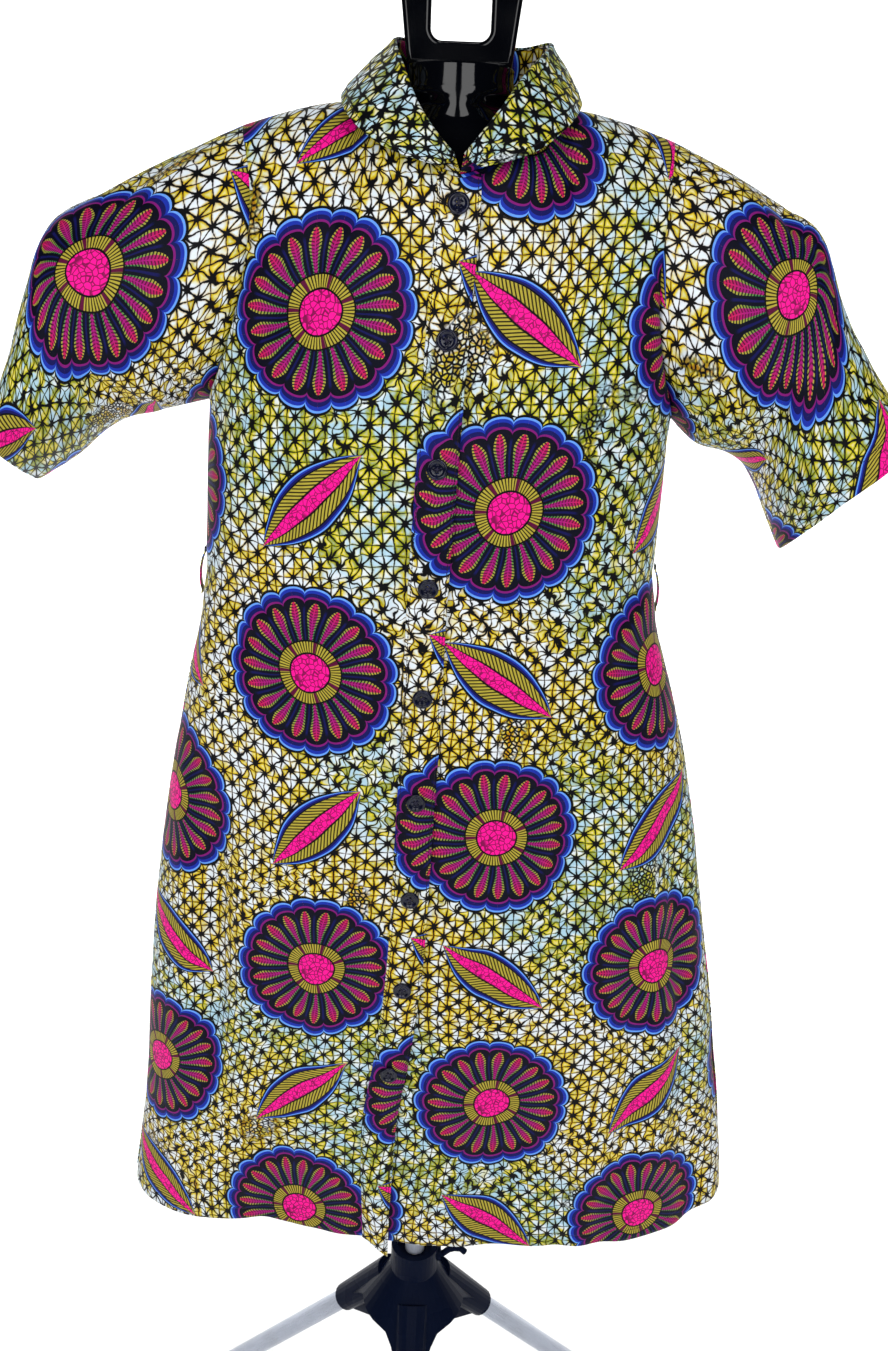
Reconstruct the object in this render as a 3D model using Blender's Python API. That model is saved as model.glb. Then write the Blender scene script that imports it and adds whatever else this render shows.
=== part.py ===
"""Ankara wax print shirt dress on a black dress form with a tripod stand.

Metres, +Z up. The front of the dress faces -Y and the floor is z = 0.
"drop" is a height measured downwards from the high point of the shoulder.
"""
import math

import bmesh
import bpy
import numpy as np
from mathutils import Matrix, Vector

# ---- driving dimensions -------------------------------------------------------------------
SHOULDER_HEIGHT = 1.665     # high point of the shoulder above the floor
POLE_Y = 0.083              # pole axis behind the origin, which centres the feet's box
WALL = 0.0016               # one layer of waxed cotton with its turned edges
SEAM = 0.0003               # gap between sewn pieces
UNDERARM = 0.250            # drop of the underarm point
HEM_SIDE = 1.150            # drop of the hem at the side seams and the back
HEM_FRONT = 1.136           # drop of the hem at the centre front
# How much higher the hem runs on the wearer's right and left, from the centre front (0) to the side
# seams (1). The back follows only near the seams.
HEM_COLUMNS = ("share", "right", "left")
HEM_LIFT = (
    (0.00, 0.006, 0.004),
    (0.18, 0.014, 0.007),
    (0.34, 0.018, 0.007),
    (0.48, 0.024, 0.007),
    (0.60, 0.015, 0.009),
    (0.76, 0.009, 0.018),
    (0.88, 0.011, 0.031),
    (1.00, 0.020, 0.041),
)
BACK_LIFT = 0.70            # share of the back from which it follows
SQUARENESS = 2.25           # 2 is an ellipse, more is a flatter front and back
NECK_SHARE = 0.5            # part of a panel's top edge that is neckline, the rest is shoulder
NECK_DROP = 0.057           # drop of the neckline at the centre front

UPPER_ROWS = 10             # rows from the shoulder to the underarm, shared with the sleeves
SKIRT_ROWS = 14             # rows from the underarm to the hem
HALF_COLUMNS = 12           # columns from the centre line to a side seam

# Level sections of the dress below the underarm.
RING_COLUMNS = ("drop", "half_width", "front", "back")
RINGS = (
    (0.250, 0.2090, 0.116, 0.098),
    (0.310, 0.2100, 0.121, 0.096),
    (0.433, 0.2162, 0.115, 0.090),
    (0.535, 0.2418, 0.114, 0.098),
    (0.646, 0.2670, 0.113, 0.111),
    (0.765, 0.2878, 0.111, 0.118),
    (0.888, 0.3062, 0.108, 0.123),
    (1.015, 0.3206, 0.105, 0.127),
    (1.150, 0.3390, 0.102, 0.130),
)
# How far the dress hangs to the wearer's left of the pole at each drop.
SWAY_COLUMNS = ("drop", "aside")
SWAY = (
    (-0.060, 0.0130),
    (-0.010, 0.0036),
    (0.020, 0.0018),
    (0.060, 0.0045),
    (0.160, -0.0010),
    (0.300, -0.0076),
    (0.433, -0.0099),
    (0.535, -0.0054),
    (0.765, 0.0020),
    (0.888, 0.0077),
    (1.015, 0.0112),
    (1.150, 0.0110),
)

# Half of the collar, from the centre back (0) round to the centre front (1):
# where it is sewn to the neck, where it folds over, and its outer edge.
COLLAR_COLUMNS = (
    "way", "seam_x", "seam_y", "seam_drop", "fold_x", "fold_y", "fold_drop",
    "edge_x", "edge_y", "edge_drop",
)
COLLAR = (
    (0.00, 0.000, 0.070, -0.007, 0.000, 0.062, -0.053, 0.000, 0.088, 0.010),
    (0.25, 0.050, 0.051, -0.004, 0.043, 0.046, -0.052, 0.067, 0.066, 0.002),
    (0.50, 0.078, 0.000, 0.000, 0.065, 0.000, -0.048, 0.101, 0.000, -0.0070),
    (0.65, 0.066, -0.040, 0.018, 0.051, -0.045, -0.024, 0.091, -0.049, 0.0135),
    (0.80, 0.043, -0.068, 0.037, 0.032, -0.073, 0.008, 0.064, -0.078, 0.036),
    (0.92, 0.019, -0.082, 0.051, 0.015, -0.087, 0.030, 0.036, -0.093, 0.047),
    (1.00, 0.003, -0.087, 0.057, 0.004, -0.092, 0.042, 0.016, -0.099, 0.052),
)
STAND_BOW = 0.001           # how far the stand bows out half way up
COLLAR_GAP = 0.0004         # room between the stand's top edge and the fall over it
ROLL_RISE = 0.0008          # how far the fall's crest stands out from the fold line
ROLL_REACH = 0.0038         # how far it has come out where it turns down
ROLL_DROP = 0.0016
FALL_SAG = 0.0022           # how far the fall bulges on its way to its edge

SHOULDER_TIP = (0.182, 0.000, 0.021)      # x, y and drop where the shoulder seam meets the sleeve
SHOULDER_BULGE = 0.0055                   # how far the seam rises above a straight line to it
ARMHOLE_IN = 0.022                        # how far the armhole curves in towards the chest
ARMHOLE_DEPTH = 0.064                     # how far it reaches forward and back

# Sections of a sleeve from the armhole (0) to the hem (1): top and underside points, half depth,
# and how much higher its front lies than those two.
SLEEVE_COLUMNS = ("way", "top_x", "top_drop", "under_x", "under_drop", "depth", "lift")
RIGHT_SLEEVE = (
    (0.00, 0.1820, 0.021, 0.2090, 0.250, 0.064, 0.000),
    (0.20, 0.2515, 0.051, 0.2330, 0.256, 0.077, 0.000),
    (0.38, 0.3000, 0.076, 0.2560, 0.263, 0.084, 0.002),
    (0.56, 0.3490, 0.107, 0.2830, 0.270, 0.088, 0.007),
    (0.70, 0.3640, 0.157, 0.3070, 0.283, 0.091, 0.014),
    (0.85, 0.3780, 0.224, 0.3360, 0.309, 0.092, 0.024),
    (1.00, 0.3990, 0.302, 0.3700, 0.332, 0.092, 0.034),
)
LEFT_SLEEVE = (
    (0.00, 0.1820, 0.021, 0.2090, 0.250, 0.064, 0.000),
    (0.20, 0.2350, 0.044, 0.2380, 0.273, 0.075, 0.000),
    (0.38, 0.2780, 0.070, 0.2650, 0.281, 0.080, 0.002),
    (0.56, 0.3115, 0.093, 0.2865, 0.295, 0.083, 0.008),
    (0.70, 0.3455, 0.158, 0.3020, 0.317, 0.083, 0.015),
    (0.85, 0.3930, 0.222, 0.3180, 0.349, 0.082, 0.026),
    (1.00, 0.4330, 0.275, 0.3300, 0.369, 0.080, 0.036),
)
SLEEVE_ROWS = 9

# Largest folds of the skirt: face (-1 front, 1 back), side (-1 is the wearer's right), place
# across the panel (0 centre, 1 side seam), first and last drop, depth inwards and half breadth.
FOLD_COLUMNS = ("face", "side", "place", "top", "bottom", "depth", "breadth")
FOLDS = (
    (-1, -1, 0.66, 0.52, 1.02, 0.0100, 0.075),
    (-1, -1, 0.40, 0.66, 1.20, 0.0060, 0.070),
    (-1, 1, 0.44, 0.44, 0.80, 0.0095, 0.070),
    (-1, 1, 0.80, 0.56, 1.20, 0.0090, 0.060),
    (-1, 1, 0.20, 0.82, 1.20, 0.0060, 0.065),
    (1, -1, 0.60, 0.50, 1.20, 0.0110, 0.075),
    (1, -1, 0.22, 0.72, 1.20, 0.0070, 0.070),
    (1, 1, 0.32, 0.48, 1.04, 0.0095, 0.075),
    (1, 1, 0.70, 0.62, 1.20, 0.0110, 0.065),
)

FOLD_START = 0.16           # drop over which a fold deepens at its top
FOLD_END = 0.14             # and runs out at its bottom

# The button band hangs a little to the wearer's right lower down.
BAND_COLUMNS = ("drop", "centre_x")
BAND_LINE = (
    (0.06, -0.001),
    (0.30, 0.002),
    (0.45, -0.001),
    (0.60, -0.0105),
    (0.80, -0.0240),
    (0.903, -0.0390),
    (0.96, -0.0490),
    (1.15, -0.0500),
)
BAND_WIDTH = 0.035
BAND_WALL = 0.0012
UNDERLAP = 0.010            # how far the left front reaches under the band's centre
LAP_DEPTH = 0.0026          # how far it lies behind the right front there
LAP_FADE = 0.040

BUTTONS = 9
BUTTON_TOP = 0.079          # drop of the first button
BUTTON_STEP = 0.103
BUTTON_RADIUS = 0.009
BUTTON_HEIGHT = 0.0030

BELT_LOOP_DROP = 0.412           # drop of the middle of a belt loop
BELT_LOOP_LENGTH = 0.046
BELT_LOOP_WIDTH = 0.009
BELT_LOOP_BOW = 0.0034
BELT_LOOP_WALL = 0.0012
BELT_LOOP_SEAT = 0.0015      # room for the faceted side seam under the loop's ends

# Level sections of the form. A pinch of 1 is an ellipse, 2 a diamond, less than 1 squarer.
FORM_COLUMNS = ("drop", "half_width", "front", "back", "pinch")
FORM = (
    (-0.0290, 0.0460, 0.0460, 0.0460, 1.00),
    (-0.0150, 0.0465, 0.0465, 0.0465, 1.00),
    (-0.0065, 0.0510, 0.0480, 0.0470, 1.10),
    (-0.0010, 0.0620, 0.0480, 0.0475, 1.80),
    (0.0033, 0.0830, 0.0480, 0.0480, 2.60),
    (0.0072, 0.1065, 0.0480, 0.0480, 2.70),
    (0.0131, 0.1335, 0.0490, 0.0490, 2.60),
    (0.0194, 0.1560, 0.0520, 0.0500, 2.40),
    (0.0300, 0.1680, 0.0560, 0.0540, 2.00),
    (0.0480, 0.1730, 0.0650, 0.0600, 1.65),
    (0.0800, 0.1710, 0.0780, 0.0700, 1.35),
    (0.1300, 0.1640, 0.0920, 0.0770, 1.15),
    (0.2000, 0.1600, 0.1040, 0.0790, 1.00),
    (0.2800, 0.1600, 0.1090, 0.0770, 0.92),
    (0.3600, 0.1420, 0.0950, 0.0720, 0.92),
    (0.4300, 0.1270, 0.0840, 0.0680, 0.92),
    (0.5200, 0.1480, 0.0910, 0.0840, 0.92),
    (0.6100, 0.1700, 0.0960, 0.0960, 0.92),
    (0.6500, 0.1720, 0.0950, 0.0960, 0.92),
)
FORM_SIDES = 36

POLE_RADIUS = 0.0114
POLE_BOTTOM = 0.140
POLE_IN_FORM = 0.260
CLEARANCE = 0.0003

HUB_TOP = 0.434
HUB_CUP_RADIUS = 0.0270
HUB_CUP_INNER = 0.0210
HUB_CUP_DEPTH = 0.007
HUB_CUP_BELOW = 0.051             # how far the cup reaches below the skirt's top
TENT_TOP = 0.402
TENT_VALLEY = (0.060, 0.352)      # radius and height of the skirt's edge between two legs
TENT_PEAK = (0.094, 0.304)        # and at a leg
TENT_STEPS = (0.0, 0.3, 0.62, 1.0)
LOBE_SHARPNESS = 10               # how closely the skirt's points keep to the legs
HUB_SIDES = 36
LEG_RADIUS = 0.0115
LEG_SLOPE = math.radians(50)
SOCKET_RADIUS = 0.0185
SOCKET_END = (0.098, 0.292)       # distance from the pole and height of a socket's mouth
SOCKET_LENGTH = 0.104
SOCKET_TAPER = 0.002
SOCKET_DEPTH = 0.055              # how far a leg goes into it
LEG_BEARINGS = (-90, 30, 150)
FOOT_RADIUS = 0.0195
FOOT_HEIGHT = 0.038
SOLE = 0.009                # rubber under the leg's end
SCREW_RADIUS = 0.0038
SCREW_HEIGHT = 0.419
SCREW_BOSS = (0.0085, 0.0315)     # radius of the boss it passes through, and its reach from the pole
SCREW_ROUTE = (             # its middle line: distance from the pole's axis, rise
    (0.0125, 0.0), (0.034, 0.0), (0.0405, 0.0065), (0.047, 0.0090), (0.055, 0.0085), (0.0600, 0.0035),
)

LOOP_OUTER = 0.050          # half width of the hanging loop
LOOP_HOLE = 0.0245
LOOP_HEIGHT = 0.106
LOOP_FLOOR = 0.019          # solid height below the hole
LOOP_THICKNESS = 0.017
LOOP_EDGE = 0.003           # radius of its rounded edges
LOOP_TAPER = 0.006          # how much narrower each side is at the neck
LOOP_ARCH = 0.050           # height of its arched top
LOOP_HOLE_ARCH = 0.026
LOOP_CORNER = 0.009         # radius of the hole's lower corners

COLOURS = {
    "print": (0.55, 0.55, 0.35, 1),
    "band": (0.42, 0.03, 0.20, 1),
    "button": (0.012, 0.014, 0.035, 1),
    "form": (0.008, 0.008, 0.010, 1),
    "plastic": (0.015, 0.015, 0.018, 1),
    "aluminium": (0.72, 0.73, 0.75, 1),
    "rubber": (0.02, 0.02, 0.02, 1),
}


# ---- small helpers ------------------------------------------------------------------------
def column(table, columns, name):
    """One named column of a table."""
    return np.array([row[columns.index(name)] for row in table], dtype=float)


def smooth(t):
    """Ease from 0 to 1."""
    t = np.clip(t, 0.0, 1.0)
    return t * t * (3 - 2 * t)


def hermite(xs, ys, x):
    """A smooth curve through the points (xs, ys), read at x."""
    x = np.asarray(x, dtype=float)
    slopes = np.gradient(ys, xs)
    i = np.clip(np.searchsorted(xs, x, side="right") - 1, 0, len(xs) - 2)
    h = xs[i + 1] - xs[i]
    t = np.clip((x - xs[i]) / h, 0.0, 1.0)
    a = 2 * t**3 - 3 * t**2 + 1
    b = t**3 - 2 * t**2 + t
    c = 3 * t**2 - 2 * t**3
    d = t**3 - t**2
    return a * ys[i] + b * h * slopes[i] + c * ys[i + 1] + d * h * slopes[i + 1]


def read(table, columns, name, x):
    """A named column of a table at x, measured along the table's first column."""
    return hermite(column(table, columns, columns[0]), column(table, columns, name), x)


def unit(vectors):
    """The same directions with a length of 1."""
    return vectors / np.linalg.norm(vectors, axis=-1, keepdims=True)


def material(name, colour, roughness, metallic=0.0):
    made = bpy.data.materials.new(name)
    made.use_nodes = True
    shader = made.node_tree.nodes["Principled BSDF"]
    shader.inputs["Base Color"].default_value = COLOURS[colour]
    shader.inputs["Roughness"].default_value = roughness
    shader.inputs["Metallic"].default_value = metallic
    made.diffuse_color = COLOURS[colour]
    return made


def world(points):
    """From (x, y, drop) about the pole to world coordinates."""
    placed = np.array(points, dtype=float)
    placed[..., 1] += POLE_Y
    placed[..., 2] = SHOULDER_HEIGHT - placed[..., 2]
    return placed


def swayed(points):
    """Points of the dress as it hangs, a little beside the pole."""
    moved = np.array(points, dtype=float)
    moved[..., 0] += read(SWAY, SWAY_COLUMNS, "aside", moved[..., 2])
    return moved


# ---- the dress as one surface -------------------------------------------------------------
def ring_arc(drop, face, share):
    """Points of a level section at shares of its length from the centre line to the side."""
    width = float(read(RINGS, RING_COLUMNS, "half_width", drop))
    depth = float(read(RINGS, RING_COLUMNS, "front" if face < 0 else "back", drop))
    turn = np.linspace(0.0, math.pi / 2, 161)
    x = width * np.sin(turn) ** (2 / SQUARENESS)
    y = depth * np.clip(np.cos(turn), 0.0, 1.0) ** (2 / SQUARENESS)
    length = np.concatenate(([0.0], np.cumsum(np.hypot(np.diff(x), np.diff(y)))))
    along = share * length[-1]
    return np.interp(along, length, x), face * np.interp(along, length, y), width, depth


def top_edge(face, share):
    """Neckline, then shoulder seam."""
    start = 1.0 if face < 0 else 0.0
    way = start + (0.5 - start) * np.clip(share / NECK_SHARE, 0.0, 1.0)
    neck = collar_point("seam", 1, way)
    centre = collar_point("seam", 1, np.array([start])) * np.array([0.0, 1.0, 1.0])
    near = np.clip(share / 0.06, 0.0, 1.0)[:, None]
    neck = np.where(near < 1.0, centre * (1 - near) + neck * near, neck)
    point = collar_point("seam", 1, np.array([0.5]))[0]
    along = np.clip((share - NECK_SHARE) / (1 - NECK_SHARE), 0.0, 1.0)[:, None]
    shoulder = point + (np.array(SHOULDER_TIP) - point) * along
    shoulder[:, 2] -= SHOULDER_BULGE * np.sin(math.pi * along[:, 0] ** 0.75)
    return np.where((share <= NECK_SHARE)[:, None], neck, shoulder)


def armhole(face, way):
    """The armhole from the shoulder (0) to the underarm (1)."""
    tip = np.array(SHOULDER_TIP)
    side = float(read(RINGS, RING_COLUMNS, "half_width", UNDERARM))
    bulge = math.sin(math.pi * way)
    round_way = (1 - math.cos(math.pi * way)) / 2
    x = tip[0] + (side - tip[0]) * round_way - ARMHOLE_IN * bulge ** 2
    y = tip[1] * (1 - round_way) + face * ARMHOLE_DEPTH * bulge
    drop = tip[2] + (UNDERARM - tip[2]) * round_way
    return np.array([x, y, drop])


def hem_drop(face, side, share):
    name = "right" if side < 0 else "left"
    if face > 0:
        lift = read(HEM_LIFT, HEM_COLUMNS, name, 1.0) * smooth((share - BACK_LIFT) / (1 - BACK_LIFT))
        return HEM_SIDE - lift
    return HEM_FRONT + (HEM_SIDE - HEM_FRONT) * share ** 2 - read(HEM_LIFT, HEM_COLUMNS, name, share)


def fold_depth(face, side, share, drop):
    """How far the folds pull the skirt in."""
    total = 0.0
    for row in FOLDS:
        fold = dict(zip(FOLD_COLUMNS, row))
        if fold["face"] != face or fold["side"] != side:
            continue
        across = np.exp(-(((share - fold["place"]) / fold["breadth"]) ** 2))
        rise = smooth((drop - fold["top"]) / FOLD_START) * smooth((fold["bottom"] - drop) / FOLD_END)
        total = total + fold["depth"] * across * rise
    return total


def body_row(face, side, share, height):
    """Points of the dress on one face and side: height 0 top, 1 underarm, 2 hem."""
    share = np.asarray(share, dtype=float)
    across = np.sign(share) + (share == 0)
    reach = np.abs(share)
    past = reach > 1.0
    inside = np.where(past, 2.0 - reach, reach)
    points = side_row(face, side, inside, height)
    if past.any():
        points[past] = side_row(-face, side, inside, height)[past]
    points[:, 0] *= across * side
    return points


def side_row(face, side, share, height):
    if height < 0.0:
        return side_row(-face, side, share, -height)
    if height >= 1.0:
        drop = UNDERARM + (height - 1.0) * (hem_drop(face, side, share) - UNDERARM)
        level = float(np.mean(drop))
        x, y, width, depth = ring_arc(level, face, share)
        pull = fold_depth(face, side, share, drop)
        outward = unit(np.stack([x / width**2, y / depth**2], -1))
        return np.stack([x - pull * outward[:, 0], y - pull * outward[:, 1], drop], -1)
    top = top_edge(face, share)
    x, y, _, _ = ring_arc(UNDERARM, face, share)
    low = np.stack([x, y, np.full_like(x, UNDERARM)], -1)
    fade = np.array([height, 1 - (1 - height) ** 1.6, height ** 1.4])
    points = top + (low - top) * fade
    tip = np.array(SHOULDER_TIP)
    corner = np.array([float(read(RINGS, RING_COLUMNS, "half_width", UNDERARM)), 0.0, UNDERARM])
    straight = tip + (corner - tip) * fade
    return points + (armhole(face, height) - straight) * (share ** 2)[:, None]


def body_normals(face, side, share, height):
    """Directions that point out of the dress, the same from both sides of a seam."""
    step = 0.004
    neck = np.abs(share) < NECK_SHARE
    down = body_row(face, side, share, height + step)
    up = body_row(face, side, share, max(height - step, -1.0) if height != 0 else -step)
    if height == 0.0:
        flat = body_row(face, side, share, height)
        up = np.where(neck[:, None], flat, up)
    wide = np.where(height < 1.0 - 1e-9, np.minimum(share + step, 1.0), share + step)
    out = body_row(face, side, wide, height)
    into = body_row(face, side, share - step, height)
    normals = np.cross(out - into, down - up)
    return unit(normals) * (-face * side)


def mitre(tangent, first, second, towards):
    """At a seam between two pieces: their common wall direction, and the way across the seam."""
    common = unit(first + second)
    tangent = unit(tangent)
    common = unit(common - tangent * np.sum(common * tangent, -1, keepdims=True))
    across = np.cross(tangent, common)
    turn = np.where(np.sum(across * towards, -1, keepdims=True) < 0, -1.0, 1.0)
    return common, unit(across) * turn


def wall(name, outer, inward, thickness, look, closed=False):
    """A closed wall from a grid of outer points and the directions in which it is thick."""
    rows, columns = outer.shape[:2]
    inner = outer + inward * thickness
    mesh = bmesh.new()
    layers = []
    for points in (world(swayed(outer)), world(swayed(inner))):
        layers.append([[mesh.verts.new(point) for point in row] for row in points])
    span = columns if closed else columns - 1
    front, back = layers
    for i in range(rows - 1):
        for j in range(span):
            k = (j + 1) % columns
            mesh.faces.new((front[i][j], front[i + 1][j], front[i + 1][k], front[i][k]))
            mesh.faces.new((back[i][j], back[i][k], back[i + 1][k], back[i + 1][j]))
    for i, order in ((0, 1), (rows - 1, -1)):
        for j in range(span):
            k = (j + 1) % columns
            mesh.faces.new((front[i][j], front[i][k], back[i][k], back[i][j])[::order])
    if not closed:
        for j, order in ((0, -1), (columns - 1, 1)):
            for i in range(rows - 1):
                mesh.faces.new((front[i][j], front[i + 1][j], back[i + 1][j], back[i][j])[::order])
    return finish(name, mesh, look)


def finish(name, mesh, look, sharp=50):
    """Turns a bmesh into the named object, facing out."""
    if mesh.calc_volume(signed=True) < 0:
        bmesh.ops.reverse_faces(mesh, faces=mesh.faces)
    data = bpy.data.meshes.new(name)
    mesh.to_mesh(data)
    mesh.free()
    data.shade_smooth()
    data.set_sharp_from_angle(angle=math.radians(sharp))
    made = bpy.data.objects.new(name, data)
    data.materials.append(look)
    PARTS.objects.link(made)
    return made


# ---- seams between the dress's pieces ------------------------------------------------------
def sleeve_point(table, way, turn):
    """A sleeve's surface: way along it from the armhole, turn 0 top, 0.25 front, 0.5 under."""
    def station(at):
        get = {name: float(read(table, SLEEVE_COLUMNS, name, at)) for name in SLEEVE_COLUMNS[1:]}
        top = np.array([get["top_x"], SHOULDER_TIP[1] * (1 - at), get["top_drop"]])
        under = np.array([get["under_x"], 0.0, get["under_drop"]])
        angle = 2 * math.pi * turn
        along = math.copysign(abs(math.cos(angle)) ** 0.93, math.cos(angle))
        deep = math.copysign(abs(math.sin(angle)) ** 0.93, math.sin(angle))
        forward = np.array([0.0, -get["depth"], 0.0])
        lift = np.array([0.0, 0.0, get["lift"]]) * max(math.sin(angle), 0.0)
        return (top + under) / 2 + (top - under) / 2 * along + forward * deep - lift
    if turn <= 0.5:
        root = armhole(-1, 2 * turn)
    else:
        root = armhole(1, 2 - 2 * turn)
    return station(way) + (root - station(0.0)) * float(1 - smooth(way / 0.5))


def sleeve_grid(table, ways, turns, side):
    grid = np.array([[sleeve_point(table, way, turn) for turn in turns] for way in ways])
    grid[..., 0] *= side
    return grid


def sleeve_normals(table, ways, turns, side):
    step = 0.004
    rows = []
    for way in ways:
        low, high = max(way - step, 0.0), min(way + step, 1.0)
        along = sleeve_grid(table, (high,), turns, side) - sleeve_grid(table, (low,), turns, side)
        ahead = sleeve_grid(table, (way,), [(turn + step) % 1.0 for turn in turns], side)
        behind = sleeve_grid(table, (way,), [(turn - step) % 1.0 for turn in turns], side)
        rows.append(unit(np.cross(ahead - behind, along))[0] * -side)
    return np.array(rows)


def armhole_seam(table, face, side):
    """Wall direction and seam direction at each upper row of an armhole."""
    ways = np.linspace(0.0, 1.0, UPPER_ROWS + 1)
    turns = ways / 2 if face < 0 else (1 - ways / 2) % 1.0
    step = 0.01
    body = np.array([body_normals(face, side, np.array([1.0]), way)[0] for way in ways])
    sleeve = sleeve_normals(table, (0.0,), turns, side)[0]
    ahead = np.array([armhole(face, min(way + step, 1.0)) for way in ways])
    behind = np.array([armhole(face, max(way - step, 0.0)) for way in ways])
    tangent = ahead - behind
    tangent[0] = (0.0, 1.0, 0.0)
    tangent[-1] = (0.0, 1.0, 0.0)
    tangent[:, 0] *= side
    body[0] = unit(np.array([0.15 * side, 0.0, -1.0]))
    sleeve[0] = body[0]
    body[-1] = (side, 0.0, 0.0)
    sleeve[-1] = (0.0, 0.0, 1.0)
    towards = np.array([[side, 0.0, 0.0]] * len(ways))
    return mitre(tangent, body, sleeve, towards)


def collar_point(kind, side, ways):
    names = [kind + "_x", kind + "_y", kind + "_drop"]
    points = np.stack([read(COLLAR, COLLAR_COLUMNS, name, ways) for name in names], -1)
    points[:, 0] *= side
    return points


def collar_outward(side, ways):
    """Level direction out of the collar along its fold."""
    step = 0.02
    ahead = collar_point("fold", side, np.minimum(ways + step, 1.0))
    behind = collar_point("fold", side, np.maximum(ways - step, 0.0))
    tangent = ahead - behind
    outward = np.stack([-tangent[:, 1] * side, tangent[:, 0] * side, np.zeros(len(ways))], -1)
    return unit(outward)


def neck_seam(face, side, share):
    """Wall direction and seam direction along the neckline at shares up to NECK_SHARE."""
    step = 0.01
    body = body_normals(face, side, share, 0.0)
    start = 1.0 if face < 0 else 0.0
    ways = start + (0.5 - start) * np.clip(share / NECK_SHARE, 0.0, 1.0)
    stand = collar_outward(side, ways)
    ahead = top_edge(face, np.minimum(share + step, NECK_SHARE))
    behind = top_edge(face, np.maximum(share - step, 0.0))
    tangent = (ahead - behind) * np.array([side, 1.0, 1.0])
    towards = np.array([[0.0, 0.0, -1.0]] * len(share))
    return mitre(tangent, body, stand, towards)


def panel_heights():
    """Rows of every panel: 0 shoulder, 1 underarm, 2 hem."""
    return np.concatenate((np.linspace(0, 1, UPPER_ROWS + 1), np.linspace(1, 2, SKIRT_ROWS + 1)[1:]))


def panel_rows(face, side, shares):
    """Points and outward directions of one face and side, drawn in by half a gap at its seams."""
    rows = []
    arm_common, arm_across = armhole_seam(RIGHT_SLEEVE if side < 0 else LEFT_SLEEVE, face, side)
    for index, height in enumerate(panel_heights()):
        share = shares(height)
        points = body_row(face, side, share, height)
        normals = body_normals(face, side, share, height)
        if index == 0:
            neck = np.abs(share) <= NECK_SHARE + 1e-9
            common, across = neck_seam(face, side, np.abs(share[neck]))
            normals[neck] = common
            points[neck] -= across * SEAM / 2
            points[share >= NECK_SHARE - 1e-9, 1] += face * SEAM / 2
        if index <= UPPER_ROWS:
            normals[-1] = arm_common[index]
            points[-1] -= arm_across[index] * SEAM / 2
        if index >= UPPER_ROWS:
            points[-1, 1] += face * SEAM / 2
        rows.append((height, points, normals))
    return rows


def front_panel(name, side, shares, look, lap=None):
    """One front, with its lapped edge pushed in under the other front if it has a lap."""
    outer = []
    inward = []
    for height, points, normals in panel_rows(-1, side, shares):
        if lap is not None:
            points = points - normals * lap(points[:, 0], height)[:, None]
        outer.append(points)
        inward.append(-normals)
    wall(name, np.array(outer), np.array(inward), WALL, look)


# ---- the dress's pieces --------------------------------------------------------------------
def band_centre(height):
    """x of the middle of the button band."""
    if height < 1:
        drop = NECK_DROP + height * (UNDERARM - NECK_DROP)
    else:
        drop = UNDERARM + (height - 1) * (HEM_FRONT - UNDERARM)
    return float(read(BAND_LINE, BAND_COLUMNS, "centre_x", drop))


def front_share(height, x):
    """Share of the front's width at a place x from the centre line."""
    probe = np.linspace(0.0, 0.5, 41)
    across = body_row(-1, 1, probe, height)[:, 0]
    return math.copysign(float(np.interp(abs(x), across, probe)), x)


def band_shares(height):
    """Shares of the right front's width at the band's free edge, its middle and its sewn edge."""
    middle = band_centre(height)
    return np.array([-front_share(height, middle + BAND_WIDTH / 2 * way) for way in (1, 0, -1)])


def right_shares(height):
    """Columns of the right front: the collar's at the neckline, and the band's below it."""
    band = band_shares(height)
    if height == 0.0:
        return np.concatenate((band[:1], np.linspace(0.0, 1.0, HALF_COLUMNS + 1)))
    return np.concatenate((band, np.linspace(band[-1], 1.0, HALF_COLUMNS)[1:]))


def left_shares(height):
    """Columns of the left front: the collar's at the neckline, then even."""
    first = front_share(height, band_centre(height) - UNDERLAP / 2)
    neckline = np.concatenate(([first], np.linspace(0.0, 1.0, HALF_COLUMNS + 1)))
    even = np.linspace(first, 1.0, HALF_COLUMNS + 2)
    bend = smooth(height / 0.25)
    return neckline * (1 - bend) + even * bend


def make_fronts(look):
    """The right front laps over the left one."""
    def lap(x, height):
        reach = band_centre(height) + BAND_WIDTH / 2
        return LAP_DEPTH * (1 - smooth((x - reach) / LAP_FADE))

    front_panel("front_right", -1, right_shares, look)
    front_panel("front_left", 1, left_shares, look, lap)


def make_back(look):
    """Both sides of the back in one piece."""
    def whole(height):
        return np.linspace(0.0, 1.0, HALF_COLUMNS + 1)

    outer = []
    inward = []
    for right, left in zip(panel_rows(1, -1, whole), panel_rows(1, 1, whole)):
        for _, _, normals in (right, left):
            normals[0, 0] = 0.0
        outer.append(np.concatenate((right[1][:0:-1], left[1])))
        inward.append(-unit(np.concatenate((right[2][:0:-1], left[2]))))
    wall("back", np.array(outer), np.array(inward), WALL, look)


def make_sleeve(name, side, table, look):
    ways = np.linspace(0.0, 1.0, SLEEVE_ROWS + 1)
    turns = np.arange(2 * UPPER_ROWS) / (2 * UPPER_ROWS)
    outer = sleeve_grid(table, ways, turns, side)
    normals = sleeve_normals(table, ways, turns, side)
    for face in (-1, 1):
        common, across = armhole_seam(table, face, side)
        for index in range(UPPER_ROWS + 1):
            if face > 0 and index in (0, UPPER_ROWS):
                continue
            place = index if face < 0 else 2 * UPPER_ROWS - index
            normals[0, place] = common[index]
            outer[0, place] += across[index] * SEAM / 2
    wall(name, outer, -normals, WALL, look, closed=True)


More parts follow.
